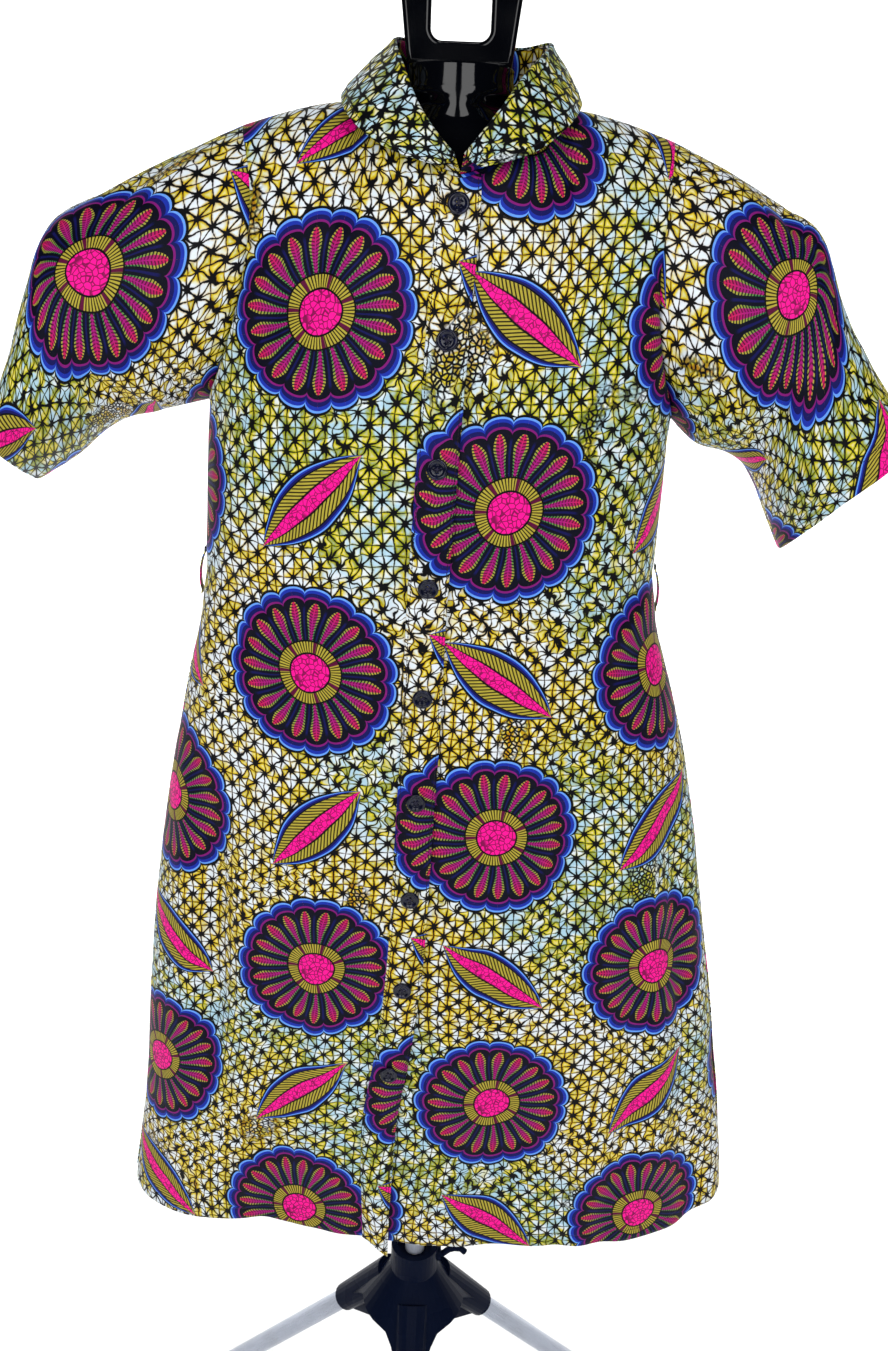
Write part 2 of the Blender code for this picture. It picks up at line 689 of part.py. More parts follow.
def collar_ways():
    """Places round half of the collar that match the panels' columns at the neckline."""
    per_half = HALF_COLUMNS // 2
    return np.linspace(0.0, 1.0, 2 * per_half + 1)


def make_collar(look):
    """The stand rises from the neckline, the fall rolls over it and comes down outside."""
    ways = collar_ways()
    stands = []
    falls = []
    for side in (-1, 1):
        outward = collar_outward(side, ways)
        top = collar_point("fold", side, ways)
        top[:, 2] += WALL + COLLAR_GAP
        seam_rows = []
        for way in ways:
            face = 1 if way <= 0.5 else -1
            share = np.array([way * NECK_SHARE * 2 if way <= 0.5 else (1 - way) * NECK_SHARE * 2])
            point = top_edge(face, share) * np.array([side, 1.0, 1.0])
            common, across = neck_seam(face, side, share)
            seam_rows.append((point[0] + across[0] * SEAM / 2, common[0]))
        low = np.array([row[0] for row in seam_rows])
        low_normal = np.array([row[1] for row in seam_rows])
        for directions in (outward, low_normal):
            directions[0, 0] = 0.0
        middle = (low + top) / 2 + outward * STAND_BOW
        stands.append((
            np.array([top, middle, low]),
            np.array([-outward, -outward, -low_normal]),
        ))
        up = np.array([0.0, 0.0, -1.0])
        edge = collar_point("edge", side, ways)
        rim = top - outward * WALL + up * (WALL + COLLAR_GAP)
        crest = top + outward * ROLL_RISE + up * (WALL + 1.5 * COLLAR_GAP)
        bend = top + outward * ROLL_REACH - up * ROLL_DROP
        rows = [rim, crest, bend]
        dirs = [-np.tile(up, (len(ways), 1)), unit(-up * 0.9 - outward * 0.35), unit(-outward - up * 0.1)]
        for part in (0.3, 0.55, 0.78, 1.0):
            sag = outward * (FALL_SAG * math.sin(math.pi * part))
            rows.append(bend + (edge - bend) * part + sag)
            dirs.append(unit(-outward + (-up) * (0.5 * part)))
        falls.append((np.array(rows), np.array(dirs)))
    for name, halves in (("collar_stand", stands), ("collar_fall", falls)):
        (left, left_in), (right, right_in) = halves
        outer = np.concatenate((left[:, :0:-1], right), axis=1)
        inward = np.concatenate((left_in[:, :0:-1], right_in), axis=1)
        wall(name, outer, inward, WALL, look)


def band_row(height):
    """Points and normals of the right front across the button band."""
    shares = band_shares(height)
    return body_row(-1, -1, shares, height), body_normals(-1, -1, shares, height)


def make_band(look):
    """The button band lies on the right front, on the same rows and columns."""
    rows = [band_row(height) for height in panel_heights()[1:]]
    points = np.array([row[0] for row in rows])
    normals = np.array([row[1] for row in rows])
    wall("button_band", points + normals * (BAND_WALL + SEAM), -normals, BAND_WALL, look)


def make_buttons(look):
    """Turned buttons with a rim round a dished middle."""
    radius, height = BUTTON_RADIUS, BUTTON_HEIGHT
    profile = (
        (0.0, 0.62 * height), (0.60 * radius, 0.62 * height), (0.74 * radius, height),
        (0.90 * radius, height), (radius, 0.68 * height), (0.90 * radius, 0.0), (0.0, 0.0),
    )
    rows = [band_row(height) for height in panel_heights()[1:]]
    normals = np.array([row[1][1] for row in rows])
    middle = swayed(np.array([row[0][1] for row in rows]) + normals * (BAND_WALL + SEAM))
    drops = middle[:, 2]
    for index in range(BUTTONS):
        drop = BUTTON_TOP + BUTTON_STEP * index
        ends = (drop - 0.9 * radius, drop + 0.9 * radius)
        places = [drop, *ends] + [value for value in drops if ends[0] < value < ends[1]]
        line = np.stack([np.interp(places, drops, middle[:, axis]) for axis in range(3)], axis=1)
        along = unit(line[2] - line[1])
        normal = np.array([np.interp(drop, drops, normals[:, axis]) for axis in range(3)])
        normal = unit(normal - along * np.dot(normal, along))
        lift = max(np.dot(line - line[0], normal)) + SEAM
        made = turned("button_%d" % (index + 1), profile, look, sides=14)
        place_on(made, world(line[0] + normal * lift), normal * np.array([1, 1, -1]))


def place_on(made, point, direction):
    """Stands a turned piece at a point, along a direction."""
    turn = Vector(direction).to_track_quat("Z", "Y").to_matrix().to_4x4()
    made.data.transform(Matrix.Translation(Vector(point)) @ turn)


def turned(name, profile, look, sides=32, sharp=35):
    """A closed turned body from its half profile, top to bottom."""
    mesh = bmesh.new()
    verts = [mesh.verts.new((r, 0.0, z)) for r, z in profile]
    edges = [mesh.edges.new(pair) for pair in zip(verts[:-1], verts[1:])]
    bmesh.ops.spin(
        mesh, geom=verts + edges, cent=(0, 0, 0), axis=(0, 0, 1),
        angle=2 * math.pi, steps=sides, use_merge=True,
    )
    bmesh.ops.remove_doubles(mesh, verts=mesh.verts, dist=1e-6)
    bmesh.ops.recalc_face_normals(mesh, faces=mesh.faces)
    return finish(name, mesh, look, sharp)


def make_belt_loops(look):
    """A strip at each side seam, sewn down at both ends and bowed out between."""
    for name, side in (("belt_loop_right", -1), ("belt_loop_left", 1)):
        rows = []
        dirs = []
        for part in np.linspace(0.0, 1.0, 13):
            drop = BELT_LOOP_DROP + (part - 0.5) * BELT_LOOP_LENGTH
            width = float(read(RINGS, RING_COLUMNS, "half_width", drop))
            free = min(max((part - 0.12) / 0.76, 0.0), 1.0)
            bow = BELT_LOOP_BOW * math.sin(math.pi * free) ** 0.6
            x = side * (width + SEAM + BELT_LOOP_WALL + bow + BELT_LOOP_SEAT)
            row = [(x, y, drop) for y in np.linspace(-BELT_LOOP_WIDTH / 2, BELT_LOOP_WIDTH / 2, 3)]
            rows.append(row)
            dirs.append([(-side, 0.0, 0.0)] * 3)
        wall(name, np.array(rows), np.array(dirs, dtype=float), BELT_LOOP_WALL, look)


# ---- the form and its stand ----------------------------------------------------------------
def loft(name, rings, look, sharp=50):
    """A closed body through level rings, top to bottom."""
    mesh = bmesh.new()
    layers = [[mesh.verts.new(point) for point in ring] for ring in rings]
    for above, below in zip(layers[:-1], layers[1:]):
        for i in range(len(above)):
            k = (i + 1) % len(above)
            mesh.faces.new((above[i], below[i], below[k], above[k]))
    for layer in (layers[0], layers[-1]):
        middle = mesh.verts.new(sum((vert.co for vert in layer), Vector()) / len(layer))
        for i in range(len(layer)):
            mesh.faces.new((layer[i], layer[(i + 1) % len(layer)], middle))
    bmesh.ops.recalc_face_normals(mesh, faces=mesh.faces)
    return finish(name, mesh, look, sharp)


def cylinder(name, radius, start, end, look=None, sides=28, end_radius=None):
    """A cylinder or cone between two points."""
    start, end = Vector(start), Vector(end)
    mesh = bmesh.new()
    bmesh.ops.create_cone(
        mesh, cap_ends=True, segments=sides, radius1=radius,
        radius2=radius if end_radius is None else end_radius, depth=(end - start).length,
    )
    turn = (end - start).to_track_quat("Z", "Y").to_matrix().to_4x4()
    bmesh.ops.transform(mesh, matrix=Matrix.Translation((start + end) / 2) @ turn, verts=mesh.verts)
    if look is None:
        data = bpy.data.meshes.new(name)
        mesh.to_mesh(data)
        mesh.free()
        made = bpy.data.objects.new(name, data)
        CUTTERS.objects.link(made)
        made.hide_render = True
        made.display_type = "WIRE"
        return made
    return finish(name, mesh, look, 40)


def boolean(made, other, operation):
    modifier = made.modifiers.new(operation.title(), "BOOLEAN")
    modifier.operation = operation
    modifier.solver = "EXACT"
    modifier.object = other


def make_form(look):
    """The moulded torso, with a blind hole for the pole."""
    rings = []
    turns = np.linspace(0.0, 2 * math.pi, FORM_SIDES, endpoint=False)
    for row in FORM:
        get = dict(zip(FORM_COLUMNS, row))
        x = get["half_width"] * np.sign(np.sin(turns)) * np.abs(np.sin(turns)) ** get["pinch"]
        depth = np.where(np.cos(turns) < 0, get["back"], get["front"])
        y = -depth * np.sign(np.cos(turns)) * np.abs(np.cos(turns)) ** get["pinch"]
        rings.append(world(np.stack([x, y, np.full_like(x, get["drop"])], -1)))
    made = loft("form_body", rings, look)
    bottom = SHOULDER_HEIGHT - FORM[-1][0]
    bore = cylinder(
        "pole_bore", POLE_RADIUS + CLEARANCE,
        (0, POLE_Y, bottom - 0.02), (0, POLE_Y, bottom + POLE_IN_FORM + CLEARANCE),
    )
    boolean(made, bore, "DIFFERENCE")


def make_hanging_loop(look):
    """A flat upright loop on the neck, with rounded edges."""
    base = SHOULDER_HEIGHT - FORM[0][0] + CLEARANCE
    outline = bpy.data.curves.new("hanging_loop", "CURVE")
    outline.dimensions = "2D"
    outline.fill_mode = "BOTH"
    outline.extrude = LOOP_THICKNESS / 2 - LOOP_EDGE
    outline.bevel_depth = LOOP_EDGE
    outline.bevel_resolution = 1
    outer, hole = LOOP_OUTER - LOOP_EDGE, LOOP_HOLE + LOOP_EDGE
    bottom, top = LOOP_EDGE, LOOP_HEIGHT - LOOP_EDGE
    spring = top - LOOP_ARCH
    corner = LOOP_CORNER + LOOP_EDGE
    floor = LOOP_FLOOR - LOOP_EDGE + corner

    def arc(across, middle, rise, first, last, aside=0.0):
        return [
            (aside + across * math.cos(a), middle + rise * math.sin(a))
            for a in np.radians(range(first, last, 15))
        ]

    shapes = (
        [(outer - LOOP_TAPER, bottom), (outer, spring)] + arc(outer, spring, LOOP_ARCH, 15, 180)
        + [(-outer, spring), (-outer + LOOP_TAPER, bottom)],
        arc(corner, floor, corner, 180, 271, corner - hole)
        + arc(corner, floor, corner, 270, 361, hole - corner) + arc(hole, spring, LOOP_HOLE_ARCH, 0, 181),
    )
    for points in shapes:
        spline = outline.splines.new("POLY")
        spline.points.add(len(points) - 1)
        for point, (x, z) in zip(spline.points, points):
            point.co = (x, z, 0.0, 1.0)
        spline.use_cyclic_u = True
    made = bpy.data.objects.new("hanging_loop", outline)
    made.rotation_euler = (math.pi / 2, 0, 0)
    made.location = (0, POLE_Y, base)
    outline.materials.append(look)
    PARTS.objects.link(made)


def bearing(angle, distance, height):
    turn = math.radians(angle)
    return Vector((distance * math.cos(turn), POLE_Y + distance * math.sin(turn), height))


def lobe(turn):
    """1 in the direction of a leg and 0 midway between two."""
    nearest = min(abs((turn - leg + 180) % 360 - 180) for leg in LEG_BEARINGS)
    return math.cos(math.radians(1.5 * nearest)) ** LOBE_SHARPNESS


def leg_direction(angle):
    """Down and out along a leg."""
    slope = Vector((math.cos(LEG_SLOPE), 0, -math.sin(LEG_SLOPE)))
    return Matrix.Rotation(math.radians(angle), 3, "Z") @ slope


def make_hub(look):
    """A cup round the pole on a skirt that spreads to three leg sockets."""
    rings = []
    for part in TENT_STEPS:
        ring = []
        for i in range(HUB_SIDES):
            turn = i * 360 / HUB_SIDES
            share = lobe(turn)
            edge = TENT_VALLEY[0] + (TENT_PEAK[0] - TENT_VALLEY[0]) * share
            low = TENT_VALLEY[1] + (TENT_PEAK[1] - TENT_VALLEY[1]) * share
            reach = HUB_CUP_RADIUS + (edge - HUB_CUP_RADIUS) * part
            ring.append(bearing(turn, reach, TENT_TOP + (low - TENT_TOP) * part))
        rings.append(ring)
    hub = loft("hub", rings, look)
    cup_bottom = TENT_TOP - HUB_CUP_BELOW
    cup = cylinder("cup", HUB_CUP_RADIUS + 0.001, (0, POLE_Y, cup_bottom), (0, POLE_Y, HUB_TOP), sides=34)
    boolean(hub, cup, "UNION")
    boss_radius, boss_reach = SCREW_BOSS
    boss = cylinder(
        "screw_boss", boss_radius, (HUB_CUP_INNER, POLE_Y, SCREW_HEIGHT), (boss_reach, POLE_Y, SCREW_HEIGHT),
        sides=20,
    )
    boolean(hub, boss, "UNION")
    places = [(bearing(angle, *SOCKET_END), leg_direction(angle)) for angle in LEG_BEARINGS]
    for index, (mouth, along) in enumerate(places):
        socket = cylinder(
            "socket_%d" % index, SOCKET_RADIUS + SOCKET_TAPER, mouth - along * SOCKET_LENGTH, mouth,
            sides=22, end_radius=SOCKET_RADIUS - SOCKET_TAPER,
        )
        boolean(hub, socket, "UNION")
    for index, (mouth, along) in enumerate(places):
        hole = cylinder(
            "leg_hole_%d" % index, LEG_RADIUS + CLEARANCE, mouth - along * SOCKET_DEPTH,
            mouth + along * 0.02, sides=24,
        )
        boolean(hub, hole, "DIFFERENCE")
    dish_floor = (0, POLE_Y, HUB_TOP - HUB_CUP_DEPTH)
    dish = cylinder("cup_dish", HUB_CUP_INNER, dish_floor, (0, POLE_Y, HUB_TOP + 0.02), sides=32)
    boolean(hub, dish, "DIFFERENCE")
    thread = cylinder(
        "screw_hole", SCREW_RADIUS + CLEARANCE, (0, POLE_Y, SCREW_HEIGHT), (0.06, POLE_Y, SCREW_HEIGHT),
        sides=16,
    )
    boolean(hub, thread, "DIFFERENCE")
    bore = cylinder("hub_bore", POLE_RADIUS + CLEARANCE, (0, POLE_Y, 0.2), (0, POLE_Y, 0.5))
    boolean(hub, bore, "DIFFERENCE")


def make_clamp_screw(look):
    """The bent clamping screw that grips the pole, turning about its own stem."""
    bar = bpy.data.curves.new("clamp_screw", "CURVE")
    bar.dimensions = "3D"
    bar.bevel_depth = SCREW_RADIUS
    bar.bevel_resolution = 2
    bar.use_fill_caps = True
    spline = bar.splines.new("POLY")
    spline.points.add(len(SCREW_ROUTE) - 1)
    for point, (x, z) in zip(spline.points, SCREW_ROUTE):
        point.co = (x, 0.0, z, 1.0)
    made = bpy.data.objects.new("clamp_screw", bar)
    made.location = (0, POLE_Y, SCREW_HEIGHT)
    bar.materials.append(look)
    PARTS.objects.link(made)


def make_legs(tube, rubber):
    """Three plain tubes plugged into the hub, each in a rubber foot with a flat sole."""
    radius, height = FOOT_RADIUS, FOOT_HEIGHT
    profile = (
        (0.0, height), (0.45 * radius, 0.985 * height), (0.80 * radius, 0.86 * height),
        (radius, 0.55 * height), (radius, 0.16 * height), (0.90 * radius, 0.0), (0.0, 0.0),
    )
    for index, angle in enumerate(LEG_BEARINGS, 1):
        mouth = bearing(angle, *SOCKET_END)
        along = leg_direction(angle)
        end = mouth + along * ((mouth.z - SOLE - LEG_RADIUS * math.cos(LEG_SLOPE)) / math.sin(LEG_SLOPE))
        cylinder("leg_%d" % index, LEG_RADIUS, mouth - along * (SOCKET_DEPTH - CLEARANCE), end, tube, 24)
        foot = turned("foot_%d" % index, profile, rubber, sides=24)
        foot.data.transform(Matrix.Translation((end.x, end.y, 0.0)))
        hole = cylinder(
            "foot_hole_%d" % index, LEG_RADIUS + CLEARANCE, end + along * CLEARANCE, end - along * 0.1,
            sides=24,
        )
        boolean(foot, hole, "DIFFERENCE")


def make_pole(look):
    top = SHOULDER_HEIGHT - FORM[-1][0] + POLE_IN_FORM
    cylinder("pole", POLE_RADIUS, (0, POLE_Y, POLE_BOTTOM), (0, POLE_Y, top), look)


# ---- everything ----------------------------------------------------------------------------
for old in list(bpy.data.objects):
    bpy.data.objects.remove(old)

PARTS = bpy.data.collections.new("ankara_dress_on_form")
CUTTERS = bpy.data.collections.new("cutters")
bpy.context.scene.collection.children.link(PARTS)
bpy.context.scene.collection.children.link(CUTTERS)

wax_print = material("wax_print_cotton", "print", 0.55)
band_print = material("band_print_cotton", "band", 0.55)
button_plastic = material("button_plastic", "button", 0.3)
form_plastic = material("form_gloss_plastic", "form", 0.12)
hub_plastic = material("hub_plastic", "plastic", 0.35)
aluminium = material("aluminium_tube", "aluminium", 0.3, 1.0)
rubber = material("foot_rubber", "rubber", 0.8)

make_fronts(wax_print)
make_back(wax_print)
make_sleeve("sleeve_right", -1, RIGHT_SLEEVE, wax_print)
make_sleeve("sleeve_left", 1, LEFT_SLEEVE, wax_print)
make_collar(wax_print)
make_band(band_print)
make_buttons(button_plastic)
make_belt_loops(wax_print)
make_form(form_plastic)
make_hanging_loop(form_plastic)
make_pole(aluminium)
make_hub(hub_plastic)
make_clamp_screw(hub_plastic)
make_legs(aluminium, rubber)
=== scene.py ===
"""Ankara wax print shirt dress on a dress form: the finished looks on the fixed frame.

Metres, +Z up, the dress faces -Y. "drop" is measured down from the high point of the shoulder.
"""
import math

import bmesh
import bpy
import numpy as np
from bpy.props import FloatProperty, FloatVectorProperty, PointerProperty
from mathutils import Matrix, Vector, noise

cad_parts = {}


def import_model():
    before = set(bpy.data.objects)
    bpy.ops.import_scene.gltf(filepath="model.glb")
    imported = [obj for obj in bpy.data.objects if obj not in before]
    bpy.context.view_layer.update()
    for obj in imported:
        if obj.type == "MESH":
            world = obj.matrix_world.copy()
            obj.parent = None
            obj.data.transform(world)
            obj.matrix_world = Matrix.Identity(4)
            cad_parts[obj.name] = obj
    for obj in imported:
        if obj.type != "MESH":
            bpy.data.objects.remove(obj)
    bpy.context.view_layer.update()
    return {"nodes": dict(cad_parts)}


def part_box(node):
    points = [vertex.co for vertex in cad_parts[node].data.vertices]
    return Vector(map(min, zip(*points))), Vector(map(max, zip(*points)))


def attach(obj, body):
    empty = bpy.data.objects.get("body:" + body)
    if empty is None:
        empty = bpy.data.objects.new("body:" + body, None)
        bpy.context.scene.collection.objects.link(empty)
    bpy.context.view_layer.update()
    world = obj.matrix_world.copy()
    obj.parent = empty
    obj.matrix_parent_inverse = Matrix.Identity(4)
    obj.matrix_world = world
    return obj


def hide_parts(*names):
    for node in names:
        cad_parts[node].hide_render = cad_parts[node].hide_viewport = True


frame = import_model()

bl_info = {
    "name": "Wax Print Shirt Dress",
    "version": (1, 0, 0),
    "blender": (4, 5, 0),
    "location": "View3D > Sidebar > Dress",
    "description": "Builds a printed cotton shirt dress on a dress form with a tripod stand",
    "category": "Add Mesh",
}


class Table:
    """Rows of numbers under named columns, read as smooth curves over the first column."""

    def __init__(self, columns, rows):
        self.columns = columns
        self.rows = rows

    def column(self, name):
        return np.array([row[self.columns.index(name)] for row in self.rows], dtype=float)

    def read(self, name, x):
        return hermite(self.column(self.columns[0]), self.column(name), x)

    def at(self, x):
        """All the columns after the first, at one place."""
        return {name: float(self.read(name, x)) for name in self.columns[1:]}


# ---- sizes of the frame --------------------------------------------------------------------
SHOULDER_HEIGHT = 1.665
POLE_Y = 0.083
UNDERARM = 0.250
HEM_SIDE = 1.150
HEM_FRONT = 1.136
# How much higher the hem runs on the wearer's right and left, from the centre front (0) to the side
# seams (1). The back follows only near the seams.
HEM_LIFT = Table(("share", "right", "left"), (
    (0.00, 0.006, 0.004),
    (0.18, 0.014, 0.007),
    (0.34, 0.018, 0.007),
    (0.48, 0.024, 0.007),
    (0.60, 0.015, 0.009),
    (0.76, 0.009, 0.018),
    (0.88, 0.011, 0.031),
    (1.00, 0.020, 0.041),
))
BACK_LIFT = 0.70
SQUARENESS = 2.25
NECK_SHARE = 0.5
NECK_DROP = 0.057
CAD_WALL = 0.0016
SEAM = 0.0003
# Points along a quarter of a ring, from which a share of its length is read.
ARC_POINTS = 161
# The share of the neck over which the edge leaves the centre line.
CENTRE_BLEND = 0.06
# The shoulder's bulge leans towards the neck.
SHOULDER_LEAN = 0.75
# How the yoke's depth and drop ease from the top edge (0) to the underarm (1).
DEPTH_EASE = 1.6
DROP_EASE = 1.4

RINGS = Table(("drop", "half_width", "front", "back"), (
    (0.250, 0.2090, 0.116, 0.098),
    (0.310, 0.2100, 0.121, 0.096),
    (0.433, 0.2162, 0.115, 0.090),
    (0.535, 0.2418, 0.114, 0.098),
    (0.646, 0.2670, 0.113, 0.111),
    (0.765, 0.2878, 0.111, 0.118),
    (0.888, 0.3062, 0.108, 0.123),
    (1.015, 0.3206, 0.105, 0.127),
    (1.150, 0.3390, 0.102, 0.130),
))
# How far the dress hangs to the wearer's left of the pole at each drop.
SWAY = Table(("drop", "aside"), (
    (-0.060, 0.0130),
    (-0.010, 0.0036),
    (0.020, 0.0018),
    (0.060, 0.0045),
    (0.160, -0.0010),
    (0.300, -0.0076),
    (0.433, -0.0099),
    (0.535, -0.0054),
    (0.765, 0.0020),
    (0.888, 0.0077),
    (1.015, 0.0112),
    (1.150, 0.0110),
))
COLLAR = Table((
    "way", "seam_x", "seam_y", "seam_drop", "fold_x",
    "fold_y", "fold_drop", "edge_x", "edge_y", "edge_drop",
), (
    (0.00, 0.000, 0.070, -0.007, 0.000, 0.062, -0.053, 0.000, 0.088, 0.010),
    (0.25, 0.050, 0.051, -0.004, 0.043, 0.046, -0.052, 0.067, 0.066, 0.002),
    (0.50, 0.078, 0.000, 0.000, 0.065, 0.000, -0.048, 0.101, 0.000, -0.0070),
    (0.65, 0.066, -0.040, 0.018, 0.051, -0.045, -0.024, 0.091, -0.049, 0.0135),
    (0.80, 0.043, -0.068, 0.037, 0.032, -0.073, 0.008, 0.064, -0.078, 0.036),
    (0.92, 0.019, -0.082, 0.051, 0.015, -0.087, 0.030, 0.036, -0.093, 0.047),
    (1.00, 0.003, -0.087, 0.057, 0.004, -0.092, 0.042, 0.016, -0.099, 0.052),
))
COLLAR_GAP = 0.0004
ROLL_RISE = 0.0008
ROLL_REACH = 0.0038
ROLL_DROP = 0.0016
FALL_SAG = 0.0022
SHOULDER_TIP = (0.182, 0.000, 0.021)
SHOULDER_BULGE = 0.0055
ARMHOLE_IN = 0.022
ARMHOLE_DEPTH = 0.064
# The sleeve's rings are a little squarer than an ellipse, and grow out of the armhole up to CAP_END.
SLEEVE_POWER = 0.93
CAP_END = 0.5
SLEEVE_COLUMNS = ("way", "top_x", "top_drop", "under_x", "under_drop", "depth", "lift")
RIGHT_SLEEVE = Table(SLEEVE_COLUMNS, (
    (0.00, 0.1820, 0.021, 0.2090, 0.250, 0.064, 0.000),
    (0.20, 0.2515, 0.051, 0.2330, 0.256, 0.077, 0.000),
    (0.38, 0.3000, 0.076, 0.2560, 0.263, 0.084, 0.002),
    (0.56, 0.3490, 0.107, 0.2830, 0.270, 0.088, 0.007),
    (0.70, 0.3640, 0.157, 0.3070, 0.283, 0.091, 0.014),
    (0.85, 0.3780, 0.224, 0.3360, 0.309, 0.092, 0.024),
    (1.00, 0.3990, 0.302, 0.3700, 0.332, 0.092, 0.034),
))
LEFT_SLEEVE = Table(SLEEVE_COLUMNS, (
    (0.00, 0.1820, 0.021, 0.2090, 0.250, 0.064, 0.000),
    (0.20, 0.2350, 0.044, 0.2380, 0.273, 0.075, 0.000),
    (0.38, 0.2780, 0.070, 0.2650, 0.281, 0.080, 0.002),
    (0.56, 0.3115, 0.093, 0.2865, 0.295, 0.083, 0.008),
    (0.70, 0.3455, 0.158, 0.3020, 0.317, 0.083, 0.015),
    (0.85, 0.3930, 0.222, 0.3180, 0.349, 0.082, 0.026),
    (1.00, 0.4330, 0.275, 0.3300, 0.369, 0.080, 0.036),
))
FOLD_FADE_IN = 0.16
FOLD_FADE_OUT = 0.14
FOLDS = Table(("face", "side", "place", "top", "bottom", "depth", "breadth"), (
    (-1, -1, 0.66, 0.52, 1.02, 0.0100, 0.075),
    (-1, -1, 0.40, 0.66, 1.20, 0.0060, 0.070),
    (-1, 1, 0.44, 0.44, 0.80, 0.0095, 0.070),
    (-1, 1, 0.80, 0.56, 1.20, 0.0090, 0.060),
    (-1, 1, 0.20, 0.82, 1.20, 0.0060, 0.065),
    (1, -1, 0.60, 0.50, 1.20, 0.0110, 0.075),
    (1, -1, 0.22, 0.72, 1.20, 0.0070, 0.070),
    (1, 1, 0.32, 0.48, 1.04, 0.0095, 0.075),
    (1, 1, 0.70, 0.62, 1.20, 0.0110, 0.065),
))
BAND_LINE = Table(("drop", "centre_x"), (
    (0.06, -0.001),
    (0.30, 0.002),
    (0.45, -0.001),
    (0.60, -0.0105),
    (0.80, -0.0240),
    (0.903, -0.0390),
    (0.96, -0.0490),
    (1.15, -0.0500),
))
BAND_WIDTH = 0.035
BAND_WALL = 0.0012
UNDERLAP = 0.010
LAP_DEPTH = 0.0026
LAP_FADE = 0.040
BUTTONS = 9
BUTTON_TOP = 0.079
BUTTON_STEP = 0.103
FORM = Table(("drop", "half_width", "front", "back", "pinch"), (
    (-0.0290, 0.0460, 0.0460, 0.0460, 1.00),
    (-0.0150, 0.0465, 0.0465, 0.0465, 1.00),
    (-0.0065, 0.0510, 0.0480, 0.0470, 1.10),
    (-0.0010, 0.0620, 0.0480, 0.0475, 1.80),
    (0.0033, 0.0830, 0.0480, 0.0480, 2.60),
    (0.0072, 0.1065, 0.0480, 0.0480, 2.70),
    (0.0131, 0.1335, 0.0490, 0.0490, 2.60),
    (0.0194, 0.1560, 0.0520, 0.0500, 2.40),
    (0.0300, 0.1680, 0.0560, 0.0540, 2.00),
    (0.0480, 0.1730, 0.0650, 0.0600, 1.65),
    (0.0800, 0.1710, 0.0780, 0.0700, 1.35),
    (0.1300, 0.1640, 0.0920, 0.0770, 1.15),
    (0.2000, 0.1600, 0.1040, 0.0790, 1.00),
    (0.2800, 0.1600, 0.1090, 0.0770, 0.92),
    (0.3600, 0.1420, 0.0950, 0.0720, 0.92),
    (0.4300, 0.1270, 0.0840, 0.0680, 0.92),
    (0.5200, 0.1480, 0.0910, 0.0840, 0.92),
    (0.6100, 0.1700, 0.0960, 0.0960, 0.92),
    (0.6500, 0.1720, 0.0950, 0.0960, 0.92),
))

# ---- creases laid one by one ---------------------------------------------------------------
# A crease bows by this share of its length, and runs out past its ends by this many breadths.
CREASE_BOW = 0.06
CREASE_RUN_OUT = 1.2
CREASE_END_DEPTH = 0.35
# The ridges beside a crease, as a share of its depth, and how many breadths away they are.
RIDGE_HEIGHT = 0.30
RIDGE_PLACE = 2.0
# Fronts (-1) and back (1): from one point to another across the cloth, depth inwards, half breadth.
CREASES = Table(("face", "x0", "drop0", "x1", "drop1", "depth", "breadth"), (
    (-1, -0.186, 0.225, -0.118, 0.150, 0.0032, 0.011),
    (-1, -0.196, 0.262, -0.105, 0.235, 0.0026, 0.012),
    (-1, 0.183, 0.205, 0.128, 0.118, 0.0034, 0.012),
    (-1, 0.198, 0.268, 0.110, 0.262, 0.0024, 0.010),
    (-1, 0.060, 0.105, 0.105, 0.235, 0.0022, 0.013),
    (-1, -0.072, 0.090, -0.088, 0.215, 0.0020, 0.014),
    (-1, -0.212, 0.402, -0.120, 0.436, 0.0030, 0.013),
    (-1, -0.206, 0.462, -0.136, 0.447, 0.0022, 0.010),
    (-1, 0.210, 0.392, 0.138, 0.420, 0.0028, 0.012),
    (-1, 0.214, 0.455, 0.128, 0.476, 0.0024, 0.012),
    (-1, 0.020, 0.408, 0.082, 0.436, 0.0018, 0.010),
    (-1, -0.228, 0.560, -0.252, 0.985, 0.0050, 0.015),
    (-1, -0.096, 0.610, -0.128, 1.160, 0.0036, 0.017),
    (-1, 0.045, 0.560, 0.040, 0.900, 0.0026, 0.014),
    (-1, 0.168, 0.600, 0.190, 1.160, 0.0046, 0.014),
    (-1, 0.118, 0.880, 0.140, 1.160, 0.0030, 0.012),
    (-1, 0.262, 0.700, 0.296, 1.160, 0.0042, 0.012),
    (-1, -0.175, 0.930, -0.190, 1.160, 0.0026, 0.012),
    (1, -0.188, 0.210, -0.108, 0.132, 0.0034, 0.013),
    (1, 0.180, 0.235, 0.092, 0.170, 0.0030, 0.012),
    (1, -0.205, 0.395, -0.060, 0.432, 0.0034, 0.014),
    (1, 0.208, 0.380, 0.085, 0.412, 0.0030, 0.012),
    (1, 0.200, 0.470, 0.060, 0.450, 0.0026, 0.013),
    (1, -0.040, 0.120, -0.052, 0.300, 0.0018, 0.016),
    (1, 0.030, 0.480, 0.052, 1.160, 0.0044, 0.018),
    (1, -0.130, 0.560, -0.150, 1.160, 0.0048, 0.016),
    (1, -0.240, 0.640, -0.275, 1.160, 0.0040, 0.014),
    (1, 0.150, 0.700, 0.165, 1.160, 0.0036, 0.014),
    (1, 0.250, 0.620, 0.280, 1.160, 0.0044, 0.014),
    (1, -0.050, 0.860, -0.045, 1.160, 0.0026, 0.013),
))
